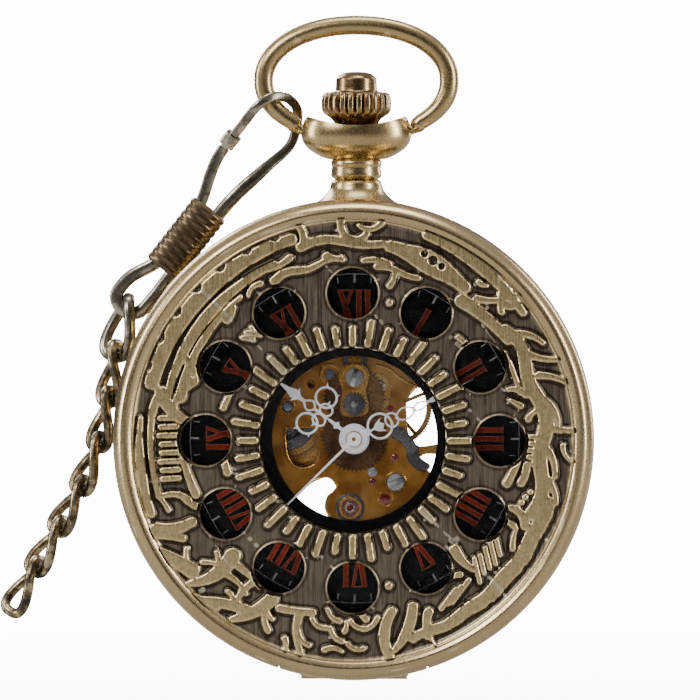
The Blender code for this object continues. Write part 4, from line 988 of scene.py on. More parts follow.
def lid_shell():
    """The polished rim, the skirt, the inner face, the walls of the openings and the knuckle."""
    foot = RELIEF_FLOOR + 0.55 * (RELIEF_TOP - RELIEF_FLOOR)
    rim = [(RELIEF_R, foot), (21.62, foot - 0.02), (21.85, 13.86), (22.2, 14.02), (22.5, 13.98),
           (22.78, 13.82), (23.12, 13.46), (23.36, 13.0), (23.5, 12.4), (23.5, 10.75), (23.42, 10.7),
           (23.42, 10.5), (23.5, 10.45), (23.5, 10.2), (23.42, 10.1), (22.85, 10.1),
           (22.75, 10.2), (22.75, 12.4), (22.3, 12.95)]
    rim = [tuple(p) for p in curve_through(rim[:9], 5)] + rim[9:]
    item = new_object("lid_rim", *turned(rim, 288), M["bronze_rim"], "lid", angle=32)
    for side in (-1, 1):
        low, high = sorted((side * KNUCKLE_ROOM, side * HINGE_REACH))
        carve(item, *block((low, -25, 8.9), (high, HINGE[0] + 1.6, 10.75)))
        low, high = sorted((side * 7.15, side * 7.4))
        carve(item, *block((low, -25, 9.5), (high, -22.05, 13.6)))
    shade(item, M["bronze_rim"])
    x, y, faces = lid_grid(2, 2, 3, 12, 6, 16, 22.3)
    flat = np.full(len(x), LID_BACK)
    # The lid's inner face in the darker bronze: painted shade.
    new_object("lid_lining", np.stack([x, y, flat], 1), faces[:, ::-1], M["bronze_dark"], "lid")
    walls, top = Parts(), RELIEF_FLOOR + 0.2
    for hour in range(12):
        walls.turn([(HOLE_R, top), (HOLE_R, LID_BACK)], 64, polar(30 * hour, HOLE_RING_R))
    walls.turn([(WINDOW_R, top), (WINDOW_R, LID_BACK)], 192)
    # The opening walls in the darker bronze: painted shade.
    walls.done("lid_opening_walls", M["bronze_dark"], "lid")
    knuckle = Parts().add(*hinge_barrel(0.4, 0.6, -2.38, 2.38))
    knuckle.add(*block((-2.36, -23.4, 9.9), (2.36, -22.6, 10.6)))
    knuckle.done("lid_knuckle", M["bronze"], "lid")


def hinge_barrel(bore, radius, start, end):
    """A rounded tube along the hinge's axis."""
    profile = [(bore, start), (radius, start), (radius, end), (bore, end)]
    return turned(rounded(profile, 0.08, closed=True), 40, (0, *HINGE), "x", closed=True)


# Case


def case_shells():
    """The case band and its hinge, both bezels, both glasses and the lid's catch."""
    band = [(18.6, 9.9), (21.85, 9.9), (22.15, 9.72), (22.4, 9.3), (22.4, 7.35), (22.3, 7.25),
            (22.3, 7.1), (22.4, 7.0), (22.4, 4.9), (22.3, 4.8), (22.3, 4.65), (22.4, 4.55),
            (22.4, 3.1), (22.2, 2.6), (21.9, 2.28), (18.6, 2.28)]
    item = new_object("case_band", *turned(band, 240, closed=True), M["bronze"], "case",
                      ("mid_case", "lid_hinge_pin"), angle=32)
    carve(item, *block((-KNUCKLE_ROOM, -25, 9.05), (KNUCKLE_ROOM, -22.0, 11)))
    carve(item, *block((-2.3, 17, 8.85), (2.3, 24, 11)))
    shade(item, M["bronze"])
    hinge = Parts()
    for side in (-1, 1):
        low, high = sorted((side * 2.5, side * (HINGE_REACH - 0.1)))
        hinge.add(*hinge_barrel(0.3, 0.58, low, high))
        hinge.add(*block((low + 0.1, -22.9, 9.2), (high - 0.1, -21.9, 9.85)))
    pin = rounded([(0, -HINGE_REACH), (0.28, -HINGE_REACH), (0.28, HINGE_REACH), (0, HINGE_REACH)])
    hinge.add(*turned(pin, 24, (0, *HINGE), "x"))
    hinge.done("case_hinge", M["bronze"], "case")
    case_back()
    bezel = rounded([(20.7, 12.3), (22.15, 11.2), (22.15, 10.0), (18.7, 10.0), (18.7, 11.35),
                     (19.95, 11.35), (19.95, 12.3)], 0.12, closed=True)
    # The front bezel under the lid in the darker bronze: painted shade.
    item = new_object("front_bezel_ring", *turned(bezel, 200, closed=True), M["bronze_dark"],
                      "case", ("front_bezel",), angle=32)
    carve(item, *block((-2.3, 21.6, 9.0), (2.3, 23.5, 10.8)))
    shade(item, M["bronze_dark"])
    dome = [(0, 12.28), (8, 12.26), (14, 12.24), (19.0, 12.2), (19.85, 12.05), (19.88, 11.5),
            (19.6, 11.4), (0, 11.4)]
    new_object("front_crystal", *turned(dome, 160), M["crystal"], "case", ("crystal",))
    hook = [(18.9, 9.0), (22.3, 9.0), (22.55, 9.3), (22.55, 10.45), (22.4, 10.55), (22.3, 9.7),
            (18.9, 9.7)]
    points, faces = plate_mesh([hook], -2.1, 2.1, 0.05)
    new_object("lid_catch_spring", points[:, [2, 0, 1]], faces, M["steel"], "catch",
               ("lid_catch",))


def case_back():
    back = [(22.0, 1.2), (21.95, 1.9), (21.6, 1.25), (21.0, 0.7), (20.2, 0.28), (19.3, 0.05),
            (18.6, 0.0)]
    back = [tuple(p) for p in curve_through(back, 4)]
    back += [(18.35, 0.0), (18.25, 0.1), (18.1, 0.1), (18.0, 0.0), (17.2, 0.0), (17.05, 0.12),
             (17.05, 1.25), (16.3, 1.25), (16.3, 2.2)]
    new_object("back_bezel_ring", *turned(back, 240, closed=True), M["bronze_rim"], "case",
               ("back_bezel",), angle=32)
    glass_edge = rounded([(0, 0.02), (16.98, 0.02), (16.98, 1.2), (0, 1.2)], 0.15)
    new_object("back_window", *turned(glass_edge, 160), M["back_glass"], "case",
               ("back_glass",))


# Pendant, bow and crown


def pendant_cup():
    """The neck and its boat-shaped cup, hollowed for the crown, the stem and the bow's ends."""
    neck = [(1.5, 27.75), (2.35, 27.3), (2.5, 26.95), (2.42, 26.6), (2.46, 26.2),
            (2.5, 25.8), (2.4, 25.55), (2.12, 25.4), (2.36, 25.24), (2.5, 25.0), (2.56, 24.7),
            (2.66, 24.4), (2.85, 24.1), (3.15, 23.75), (3.6, 23.35), (4.1, 23.0), (4.3, 22.6)]
    neck = [(0, 27.75), *(tuple(p) for p in curve_through(neck, 3)), (4.3, 22.0), (0, 22.0)]
    middle = (0, 0, STEM_H)
    item = new_object("pendant_neck", *turned(neck, 80, middle, "y"), M["bronze"], "case",
                      ("pendant",), angle=40)
    cup = [(3.4, 31.15), (4.3, 31.56), (4.72, 31.62), (5.06, 31.3), (5.3, 30.75), (5.44, 30.1),
           (5.4, 29.45), (5.12, 28.8), (4.6, 28.25), (3.8, 27.75), (2.9, 27.38), (1.5, 27.2)]
    cup = [(0, 31.0), *(tuple(p) for p in curve_through(cup, 4)), (0, 27.15)]
    carve(item, *turned(cup, 96, middle, "y", 0.6), "UNION")
    saddle_r, saddle_y = 14.0, 44.72
    carve(item, *cutter(saddle_r, -5, 5, 256, (0, saddle_y, STEM_H), "h"))
    carve(item, *cutter(2.8, 29.95, 34, 64, middle, "y"))
    carve(item, *cutter(0.9, 21.0, 34, 32, middle, "y"))
    for side in (-1, 1):
        low, high = sorted((side * 3.5, side * 7))
        carve(item, *cutter(0.62, low, high, 28, (0, BOW_Y, STEM_H), "x"))
    shade(item, M["bronze"])


def cutter(radius, start, end, steps, at, axis):
    return turned([(0, start), (radius, start), (radius, end), (0, end)], steps, at, axis)


def bow_wire():
    """An oval ring, thinned to a pin at each end; its half is laid out once and mirrored."""
    steps, start = 72, -47.0
    wide, tall, middle = 9.15, 5.45, 35.1
    arc = []
    for i in range(steps + 1):
        a = radians(start + (90 - start) * i / steps)
        across = wide * abs(cos(a)) ** (2 / 2.1)
        rise = tall * abs(sin(a)) ** (2 / 2.1)
        arc.append((across, middle + (rise if a > 0 else -rise), STEM_H))
    pin = [(4.3, BOW_Y, STEM_H), (5.0, BOW_Y, STEM_H), (5.6, BOW_Y + 0.04, STEM_H), arc[0]]
    right = [tuple(p) for p in curve_through(pin, 6)][:-1] + arc
    left = [(-x, y, h) for x, y, h in reversed(right[:-1])]
    scale = [0.55] * 13 + [0.64, 0.77]
    scale += [0.86 + 0.14 * smoothstep(k / 20) for k in range(len(right) - len(scale))]
    section = oval(1.9, 1.78, 28)
    body = Parts().add(*sweep(right + left, section, scale=scale + scale[-2::-1]))
    body.done("bow_wire", M["bronze"], "bow", ("bow",), angle=50)


def crown_knob():
    """The fluted crown from (radius, height, depth of the flutes), and its stem."""
    count = 24
    steps = count * 12
    profile = [(0, 35.98, 0), (0.8, 35.94, 0), (1.4, 35.8, 0), (1.8, 35.52, 0), (1.98, 35.3, 0),
               (2.0, 35.1, 0), (2.02, 34.6, 0), (2.05, 34.25, 0), (2.12, 34.05, 0),
               (2.5, 33.98, 0), (2.95, 33.92, 0.25), (3.22, 33.8, 0.8), (3.36, 33.6, 1),
               (3.42, 33.3, 1), (3.44, 33.0, 1), (3.44, 32.6, 1), (3.42, 32.3, 1),
               (3.34, 32.05, 1), (3.16, 31.83, 0.6), (2.83, 31.6, 0), (2.5, 31.36, 0),
               (2.22, 31.02, 0), (2.08, 30.75, 0), (1.9, 30.62, 0), (1.2, 30.6, 0),
               (0.62, 30.6, 0)]
    fine = curve_through(profile, 3)
    a = 2 * pi * np.arange(steps) / steps
    notch = np.clip(0.5 + 0.5 * np.cos(count * a), 0, 1) ** 3.5
    depth = 0.40
    radius = fine[:, 0][:, None] - depth * fine[:, 2][:, None] * notch[None, :]
    points = np.stack([radius * np.cos(a), np.repeat(fine[:, 1][:, None], steps, 1),
                       STEM_H - radius * np.sin(a)], -1)
    new_object("crown_knob", points.reshape(-1, 3), grid_faces(len(fine), steps, False, True),
               M["crown"], "crown", ("crown",), angle=55)
    stem = rounded([(0, 8.6), (0.5, 8.6), (0.5, 34.3), (0, 34.3)], 0.1)
    new_object("stem_rod", *turned(stem, 24, (0, 0, STEM_H), "y"), M["steel"], "crown",
               ("winding_stem",))


# Clasp and chain


def clasp_spot(u, v, h=0.0):
    """A spot u along the clasp, v across it and h towards the lid from its middle."""
    x, y = turned_by([(u, v)], radians(CLASP_TILT), CLASP)[0]
    return (x, y, STEM_H + h)


def clasp_parts():
    """The clasp's bent strip with its nose, the gate and the sleeve."""
    hook = [(9.5, 2.6, 0.2), (12.2, 2.5, 1.15), (14.5, 2.45, 1.75), (16.2, 1.9, 1.4),
            (17.1, 0.6, 0.1), (16.7, -0.8, -1.3), (15.2, -1.75, -1.9), (13.3, -2.35, -1.5),
            (10.0, -1.8, -0.5), (6.0, -1.15, 0), (2.0, -1.0, 0), (-3.6, -0.98, 0),
            (-6.4, -1.0, 0), (-8.6, -0.75, 0), (-9.4, 0.6, 0), (-8.6, 2.05, 0), (-6.4, 2.05, 0),
            (-3.9, 1.0, 0), (-2.6, 0.98, 0)]
    path = [clasp_spot(*p) for p in curve_through(hook, 9)]
    # The strip is slimmer where it passes the pendant's cup
    slim = [1.0 - 0.27 * smoothstep((p[1] - CLASP[1] - 5.0) / 4.0) for p in path]
    body = Parts().add(*sweep(path, oval(1.34, 0.95, 20, 3.0), scale=slim))
    nose = [clasp_spot(9.75, 2.6, 0.25), clasp_spot(10.3, 2.58, 0.45), clasp_spot(11.0, 2.55, 0.75)]
    body.wire(nose, 1.66, 1.15, 16, 4.0)
    body.done("clasp_wire", M["clasp"], "clasp", ("clasp_hook",), angle=50)
    gate = [(0.2, 0.98, 0), (1.8, 0.99, 0), (3.8, 1.1, 0), (6.4, 2.0, 0), (8.0, 2.45, 0.02),
            (9.38, 2.6, 0.1)]
    path = [clasp_spot(*p) for p in curve_through(gate, 9)]
    Parts().wire(path, 1.16, 0.82, 18, 4.0).done("clasp_gate_strip", M["clasp"], "gate",
                                                 ("clasp_gate",), angle=50)
    ribbed_sleeve()


def ribbed_sleeve():
    """An oval tube of rounded ribs, hollow for the two wires."""
    ribs, per_rib, length, around = 10, 10, 7.6, 56
    turn = radians(CLASP_TILT)
    along = np.array([cos(turn), sin(turn), 0])
    across = np.array([-sin(turn), cos(turn), 0])
    section = np.array(oval(2.0, 2.0, around, 2.5))
    middle = np.array([*CLASP, STEM_H])

    def row(s, wide, high):
        return middle + along * s + section[:, :1] * wide * across + section[:, 1:] * (0, 0, high)

    rows = []
    for i in range(ribs * per_rib + 1):
        s = length * (i / (ribs * per_rib) - 0.5)
        bulge = 0.12 * abs(sin(pi * i / per_rib)) ** 0.7
        end = smoothstep((length / 2 - abs(s)) / 0.35)
        rows.append(row(s, (1.9 + bulge) * (0.93 + 0.07 * end), (1.32 + bulge) * (0.9 + 0.1 * end)))
    rows += [row(s, 1.6, 0.72) for s in (length / 2, -length / 2)]
    new_object("clasp_sleeve_ribs", np.concatenate(rows), grid_faces(len(rows), around, True, True),
               M["sleeve"], "clasp", ("clasp_sleeve",), angle=65)


def link_path(length, width, roll_start, roll_end):
    """A long loop whose plane rolls steadily from its head to its tail."""
    count = 56
    points = []
    for i in range(count):
        a = 2 * pi * i / count
        along = -length / 2 + length / 2 * cos(a)
        across = width / 2 * (abs(sin(a)) ** 0.6) * (1 if sin(a) > 0 else -1)
        roll = radians(roll_start - (roll_end - roll_start) * along / length)
        points.append((across * cos(roll), along, across * sin(roll)))
    return np.array(points)


def evened(path, count):
    """The closed path again with evenly spaced points."""
    loop = np.vstack([path, path[:1]])
    run = np.concatenate([[0], np.cumsum(np.linalg.norm(np.diff(loop, axis=0), axis=1))])
    s = np.linspace(0, run[-1], count, endpoint=False)
    return np.stack([np.interp(s, run, loop[:, k]) for k in range(3)], 1)


def link_heading(index):
    """How far a link hangs from straight down, in degrees; the first ones follow a bend."""
    return -8 - 22 * smoothstep(index / 3.5)


def chain_piece(name, joint, heading, path, section, material, body, node):
    """A closed wire loop laid at its joint and turned to its heading."""
    pos = JOINTS[joint]["pos_m"]
    spot = np.array([pos[0], pos[2], -pos[1]]) / MM
    p = evened(path, 72)
    flat = np.array(turned_by(p[:, :2], radians(heading)))
    placed = np.column_stack([flat, p[:, 2]]) + spot
    points, faces = sweep(placed, section, closed=True, outward=placed.mean(0))
    new_object(name, points, faces, material, body, (node,), angle=60)


def chain():
    """The ring and six links, each laid at its own joint."""
    ring_path = link_path(6.0, 3.5, 84, 25)
    ring_path[:, 1] += 0.65
    chain_piece("chain_ring_loop", "ring_swing", -15.0, ring_path, oval(1.05, 1.15, 18, 2.3),
                M["clasp"], "ring", "chain_ring")
    pitch, room, wire = 4.6, 1.3, 1.02
    path = link_path(pitch + room, 2.95, 115, 25)
    path[:, 1] += room / 2
    for i in range(6):
        chain_piece(f"chain_link_{i + 1}", f"link_{i + 1}_swing", link_heading(i), path,
                    oval(wire, wire, 18), M["chain"], f"link_{i + 1}", f"link_{i + 1}")


# Dial


def flat_bar(start, end, half):
    """A four-sided bar between two points."""
    a, b = np.asarray(start, float), np.asarray(end, float)
    d = (b - a) / np.linalg.norm(b - a)
    side = np.array([-d[1], d[0]]) * half
    return [tuple(a - side), tuple(b - side), tuple(b + side), tuple(a + side)]


# A letter's advance, and its strokes as (start, end, half width); y runs from 0 to 1
LETTERS = {
    "I": (0.66, [((0, 0), (0, 1), 0.26)]),
    "V": (1.5, [((0, 0.02), (-0.5, 1), 0.26), ((0, 0.02), (0.5, 1), 0.16)]),
    "X": (1.5, [((-0.5, 0), (0.5, 1), 0.16), ((0.5, 0), (-0.5, 1), 0.26)]),
}
NUMERALS = ("XII", "I", "II", "III", "IIII", "V", "VI", "VII", "VIII", "IX", "X", "XI")


def dial_face():
    """The black ring with outlined roman numerals, tops outward, and minute marks."""
    plate = Parts().tube(8.1, 17.5, 8.86, DIAL_TOP, steps=200, corner=0.05)
    plate.done("dial_plate", M["dial"], "case", ("dial_ring",))
    outline, fill = Parts(), Parts()
    for hour, word in enumerate(NUMERALS):
        numeral(outline, fill, word, -radians(30 * hour))
    # The outlines are partly print and partly painted highlight.
    outline.done("numeral_outlines", M["numeral_edge"], "case", angle=30)
    fill.done("numeral_fills", M["numeral"], "case", angle=30)
    ticks = Parts()
    for minute in range(60):
        half, end = (0.09, 16.1) if minute % 5 == 0 else (0.045, 15.9)
        loop = flat_bar((0, 15.3), (0, end), half)
        add_prism(ticks, turned_by(loop, -radians(6 * minute)), DIAL_TOP, DIAL_TOP + 0.02)
    low, high = DIAL_TOP, DIAL_TOP + 0.015
    ticks.turn([(16.12, low), (16.12, high), (16.18, high), (16.18, low)], 160)
    ticks.done("minute_marks", M["tick"], "case", angle=30)


def numeral(outline, fill, word, turn):
    """One numeral: each stroke as a raised fill on a wider copper outline, partly print and partly
    painted highlight, with serif bars.
    """
    low, high = 11.15, 14.55
    gap = 0.2
    raised = ((outline, 0.0, DIAL_TOP, DIAL_TOP + 0.02),
              (fill, -0.075, DIAL_TOP + 0.01, DIAL_TOP + 0.035))
    pen = -(sum(LETTERS[c][0] for c in word) + gap * (len(word) - 1)) / 2
    for c in word:
        advance, strokes = LETTERS[c]
        for start, end, half in strokes:
            spots = [np.array((pen + advance / 2 + x * (advance - 0.35), low + t * (high - low)))
                     for x, t in (start, end)]
            for parts, grow, foot, top in raised:
                add_prism(parts, turned_by(flat_bar(*spots, half + grow), turn), foot, top)
        for y in ((high,) if c == "V" else (low, high)):
            serif = flat_bar((pen - 0.02, y), (pen + advance + 0.02, y), 0.06)
            add_prism(outline, turned_by(serif, turn), DIAL_TOP, DIAL_TOP + 0.02)
        pen += advance + gap


def add_prism(parts, loop, foot, top):
    n = len(loop)
    points = [(x, y, foot) for x, y in loop] + [(x, y, top) for x, y in loop]
    faces = [tuple(range(n, 2 * n)), tuple(range(n - 1, -1, -1))]
    faces += [(i, (i + 1) % n, n + (i + 1) % n, n + i) for i in range(n)]
    parts.add(points, faces)


# Hands, each laid along +x and then turned to its clock angle


def hand_turn(clock):
    return radians(90 - clock)


def hand_wire(parts, points, width, thick, height, angle, taper=None):
    """A slim rounded wire of a hand along points in the hand's own frame."""
    path = curve_through(points, 6)
    placed = [(*q, height) for q in turned_by(path, angle)]
    scale = np.linspace(*taper, len(placed)) if taper else None
    parts.add(*sweep(placed, oval(width, thick, 10, 2.6), scale=scale))


def hand_loop(parts, centre, rx, ry, width, thick, height, angle, count=28):
    """An oval ring of a hand."""
    points = [(centre[0] + rx * x, centre[1] + ry * y) for x, y in circle(1, count)]
    placed = [(*q, height) for q in turned_by(points, angle)]
    parts.wire(placed, width, thick, 10, 2.6, closed=True)


def hand_leaf(parts, stations, levels, angle, spot=(0, 0), heading=0, bevel=0.03):
    """A symmetric flat blade from (reach, half width) stations, at a spot and heading of the hand."""
    upper = list(stations)
    lower = [(x, -w) for x, w in reversed(stations) if w > 0.001]
    loop = turned_by(turned_by(lower + upper, radians(heading), spot), angle)
    parts.plate([loop], *levels, bevel)


def hub(parts, radius, bore, levels, ring):
    """A hand's boss with a raised ring given by (inner, outer, foot, top)."""
    parts.tube(bore, radius, *levels, corner=0.05)
    parts.tube(*ring)


def hour_hand():
    parts = Parts()
    angle = hand_turn(HOUR_CLOCK)
    levels, middle = (9.76, 9.94), 9.85
    hub(parts, 1.5, 1.07, levels, (1.12, 1.4, 9.92, 9.99))
    hand_leaf(parts, [(1.35, 0.2), (1.9, 0.17), (2.2, 0.42), (2.45, 0.17), (3.0, 0.15), (3.4, 0.0)],
              levels, angle)
    spurs = (((0, 0.16), (0.42, 0.0), (4.05, 1.15), 82), ((-0.1, 0.2), (0.5, 0.0), (5.15, 2.45), 58),
             ((-0.1, 0.15), (0.36, 0.0), (3.85, 2.3), 118),
             ((-0.1, 0.2), (0.5, 0.0), (7.1, 0.35), 70))
    for side in (-1, 1):
        hand_loop(parts, (3.9, side * 0.6), 0.66, 0.56, 0.2, 0.16, middle, angle)
        hand_loop(parts, (4.62, side * 1.58), 1.05, 1.0, 0.24, 0.17, middle, angle)
        for root, point, spot, heading in spurs:
            hand_leaf(parts, [root, point], levels, angle, (spot[0], side * spot[1]),
                      side * heading, 0.02)
        hand_wire(parts, [(4.9, side * 0.1), (5.2, side * 0.42), (5.55, side * 0.5),
                          (6.05, side * 0.16), (6.3, 0)], 0.2, 0.16, middle, angle)
        hand_wire(parts, [(3.3, 0), (3.6, side * 0.08), (4.6, side * 0.06), (5.0, side * 0.1)],
                  0.17, 0.15, middle, angle)
    hand_leaf(parts, [(6.0, 0.16), (6.6, 0.2), (7.0, 0.42), (7.5, 0.5), (8.0, 0.28), (8.8, 0.14),
                      (9.5, 0.0)], levels, angle)
    parts.done("hour_hand_filigree", M["silver"], "hour", ("hour_hand",), angle=45)


def minute_hand():
    parts = Parts()
    angle = hand_turn(MINUTE_CLOCK)
    levels, middle = (10.26, 10.44), 10.35
    hub(parts, 1.3, 0.8, levels, (0.84, 1.12, 10.42, 10.49))
    hand_leaf(parts, [(1.1, 0.34), (1.35, 0.3), (1.6, 0.34), (1.75, 0.0)], levels, angle)
    hand_loop(parts, (2.85, 0), 1.2, 1.22, 0.24, 0.17, middle, angle, 40)
    hand_leaf(parts, [(1.55, 0.12), (2.2, 0.1), (2.5, 0.42), (2.9, 0.5), (3.35, 0.0)], levels,
              angle)
    for side in (-1, 1):
        hand_leaf(parts, [(-0.15, 0.17), (0.55, 0.0)], levels, angle, (2.85, side * 0.42),
                  side * 35, 0.02)
        hand_wire(parts, [(4.6, 0), (5.05, side * 0.42), (5.65, side * 0.58), (6.3, side * 0.34),
                          (6.7, 0)], 0.17, 0.15, middle, angle)
        hand_wire(parts, [(6.4, side * 0.02), (6.9, side * 0.3), (7.4, side * 0.34),
                          (7.9, side * 0.16), (8.25, 0)], 0.15, 0.14, middle, angle)
    hand_loop(parts, (4.15, 0), 0.62, 0.7, 0.2, 0.16, middle, angle)
    hand_leaf(parts, [(8.1, 0.1), (8.5, 0.22), (8.9, 0.32), (9.3, 0.2), (10.0, 0.13),
                      (13.2, 0.0)], levels, angle)
    parts.done("minute_hand_filigree", M["silver"], "minute", ("minute_hand",), angle=45)


def seconds_hand():
    parts = Parts()
    hub(parts, 0.72, 0.2, (10.72, 10.84), (0.5, 0.66, 10.82, 10.87))
    hand_wire(parts, [(0.6, 0), (2, 0), (8, 0), (13.2, 0)], 0.3, 0.11, 10.78,
              hand_turn(SECONDS_CLOCK), taper=(1.0, 0.32))
    parts.done("seconds_hand_needle", M["silver"], "fourth", ("seconds_hand",), angle=45)


# Movement


def screw_head(parts, at, radius, low, high, turn=0.6, slot=0.11, up=1):
    """A slotted head: a base disc under two half discs; up is -1 on the back of the movement."""
    base, top = (low, high) if up > 0 else (high, low)
    slot_floor = base + 0.55 * (top - base)
    parts.rod(radius, *sorted((base, slot_floor)), at, 40)
    half = radius * slot * 2
    start = atan2(half, (radius ** 2 - half ** 2) ** 0.5)
    for side in (0, 1):
        loop = [(radius * cos(a), radius * sin(a))
                for a in np.linspace(start, pi - start, 22) + side * pi]
        parts.plate([turned_by(loop, turn)], *sorted((slot_floor, top)), 0.035, at)


def jewel(stones, settings, at, level, radius=0.3, ring=0.5, up=1):
    """A domed stone with a sink hole, in a bright ring where it has one."""
    dome = [(0.07, -0.03), (0.09, 0.02), (radius * 0.7, 0.035), (radius, -0.01), (radius, -0.08)]
    stones.turn([(r, level + up * h) for r, h in dome], 40, at)
    if ring:
        rim = rounded([(radius, -0.05), (radius, 0.02), (radius + 0.06, 0.05),
                       (ring - 0.03, 0.05), (ring, 0.0), (ring, -0.05)], 0.02)
        settings.turn([(r, level + up * h) for r, h in rim], 40, at)


def main_plate():
    """The plate with its two windows and the barrel's opening, in a gilt front and a grained back."""
    right = smooth_loop([(5.15, 0.6), (5.0, 2.4), (5.0, 3.5), (5.6, 4.6), (6.6, 5.2), (8.4, 4.6),
                         (9.6, 2.6), (10.0, -0.4), (9.4, -3.4), (8.3, -4.0), (6.9, -3.0),
                         (6.1, -1.6)], 8)
    lower = smooth_loop([(-1.75, -4.75), (-2.3, -3.95), (-3.0, -3.8), (-4.3, -4.35), (-5.4, -5.4),
                         (-6.3, -6.5), (-6.0, -8.4), (-4.2, -9.4), (-2.2, -9.3), (-1.9, -8.4),
                         (-2.55, -7.6), (-2.85, -6.7), (-2.6, -5.7), (-2.1, -5.3)], 6)
    barrel = smooth_loop([(-6.75, 0.95), (-6.85, -0.4), (-6.6, -1.9), (-5.9, -2.75),
                          (-4.9, -2.95), (-3.95, -2.6), (-3.55, -1.6), (-3.5, -0.2),
                          (-3.7, 0.95), (-5.2, 1.1)], 6)
    holes = [right, lower, barrel, circle(0.75, 32), circle(0.36, 24, (-4.3, 5.3)),
             circle(0.95, 36, PLATE_SCREW), circle(0.55, 24, SMALL_STUD),
             circle(0.42, 24, MINUTE_WHEEL)]
    holes += [circle(0.31, 24, spot) for spot in (THIRD, ESCAPE, PALLET, BALANCE, LOBE_JEWEL)]
    holes += [[(-1.5, 12.2), (1.5, 12.2), (1.5, 14.5), (-1.5, 14.5)]]
    Parts().plate([circle(16.0, 160)] + holes, 7.9, PLATE_TOP, 0.07).done(
        "plate_front", M["plate"], "case", ("main_plate",), angle=30)
    Parts().plate([circle(15.98, 160)] + holes, 7.2, 7.92, 0.03).done(
        "plate_back", M["perlage"], "case", angle=30)
    lips = Parts()
    for loop in (barrel, lower, right):
        lips.wire([(x, y, PLATE_TOP - 0.01) for x, y in loop], 0.24, 0.16, closed=True)
    lips.done("plate_polished_bevels", M["gold"], "case")
    Parts().tube(16.1, 18.45, 6.2, 8.8, steps=160, corner=0.12).done(
        "movement_holder", M["wheel_dark"], "case", ("movement_ring",))


def dial_side():
    """Everything fixed on the dial side of the plate, seen through the dial's opening."""
    kit = {key: Parts() for key in ("gold", "steel", "dark_steel", "blue_steel", "ruby", "setting")}
    motion_bridge(kit)
    lobe_and_studs(kit)
    levers_and_springs(kit)
    balance_jewel(kit)
    for key, name, nodes in (("gold", "dial_side_bridges", ()), ("steel", "dial_side_screws", ()),
                             ("dark_steel", "dial_side_levers", ()),
                             ("blue_steel", "dial_side_springs", ()),
                             ("ruby", "dial_side_jewels", ("balance_jewel",)),
                             ("setting", "dial_side_jewel_settings", ())):
        material = M["steel" if key == "setting" else key]
        kit[key].done(name, material, "case", nodes, angle=35)


def motion_bridge(kit):
    """The bridge over the motion work, with its lobes, a toothed wheel and its screws."""
    gold, steel, dark = kit["gold"], kit["steel"], kit["dark_steel"]
    bridge = smooth_loop([(-1.2, 2.35), (-1.42, 3.4), (-1.2, 4.5), (-1.45, 5.4), (-1.6, 6.4),
                          (-1.0, 7.2), (0, 7.45), (1.0, 7.2), (1.5, 6.5),
                          (1.35, 5.5), (1.2, 4.6), (1.42, 3.4), (1.2, 2.4), (0, 2.1)], 7)
    gold.plate([bridge], 9.43, 9.56, 0.05)
    screw, wheel, foot = (0, 6.0), (0, 3.4), (0, 6.9)
    gold.turn([(1.12, 9.55), (1.12, 9.63), (1.42, 9.63), (1.42, 9.55)], 64, screw, 0.03)
    gold.turn([(0.55, 9.45), (0.55, 8.8), (0, 8.8)], 32, foot)
    dark.plate([gear_loop(22, 0.105, 0.1)], 9.57, 9.68, 0.02, wheel)
    dark.turn([(0, 9.7), (0.45, 9.7), (0.5, 9.66)], 32, wheel, 0.02)
    screw_head(steel, wheel, 0.34, 9.68, 9.76, 0.9)
    screw_head(steel, screw, 0.9, 9.57, 9.72, 1.35, 0.12)


def lobe_and_studs(kit):
    """The lobed cap beside the bridge, the recessed studs and the screws in the plate."""
    gold, steel, blue = kit["gold"], kit["steel"], kit["blue_steel"]
    lobe = smooth_loop([(1.75, 6.35), (2.8, 6.3), (3.5, 5.6), (3.65, 4.4), (3.35, 3.2),
                        (2.6, 2.6), (2.15, 3.2), (2.1, 4.2), (1.65, 4.9), (1.5, 5.7)], 7)
    gold.plate([lobe, circle(0.32, 24, LOBE_JEWEL)], 8.8, 8.86, 0.05)
    jewel(kit["ruby"], kit["setting"], LOBE_JEWEL, 8.9, 0.34, 0.68)
    gold.turn([(0.72, 8.8), (0.78, 8.87), (1.02, 8.87), (1.1, 8.8)], 48, BIG_STUD, 0.02)
    blue.turn([(0, 8.9), (0.5, 8.9), (0.55, 8.78)], 40, BIG_STUD, 0.04)
    blue.turn([(0, 8.92), (0.48, 8.92), (0.52, 8.7)], 40, SMALL_STUD, 0.06)
    gold.turn([(0.56, 8.8), (0.6, 8.85), (0.72, 8.85), (0.78, 8.8)], 40, SMALL_STUD, 0.02)
    screw_head(steel, (1.75, -3.3), 0.5, 8.8, 8.98, 0.4)
    screw_head(steel, PLATE_SCREW, 0.86, 8.5, 8.78, 0.35, 0.13)
    gold.turn([(0.9, 8.78), (0.94, 8.86), (1.02, 8.86), (1.1, 8.8)], 48, PLATE_SCREW, 0.02)


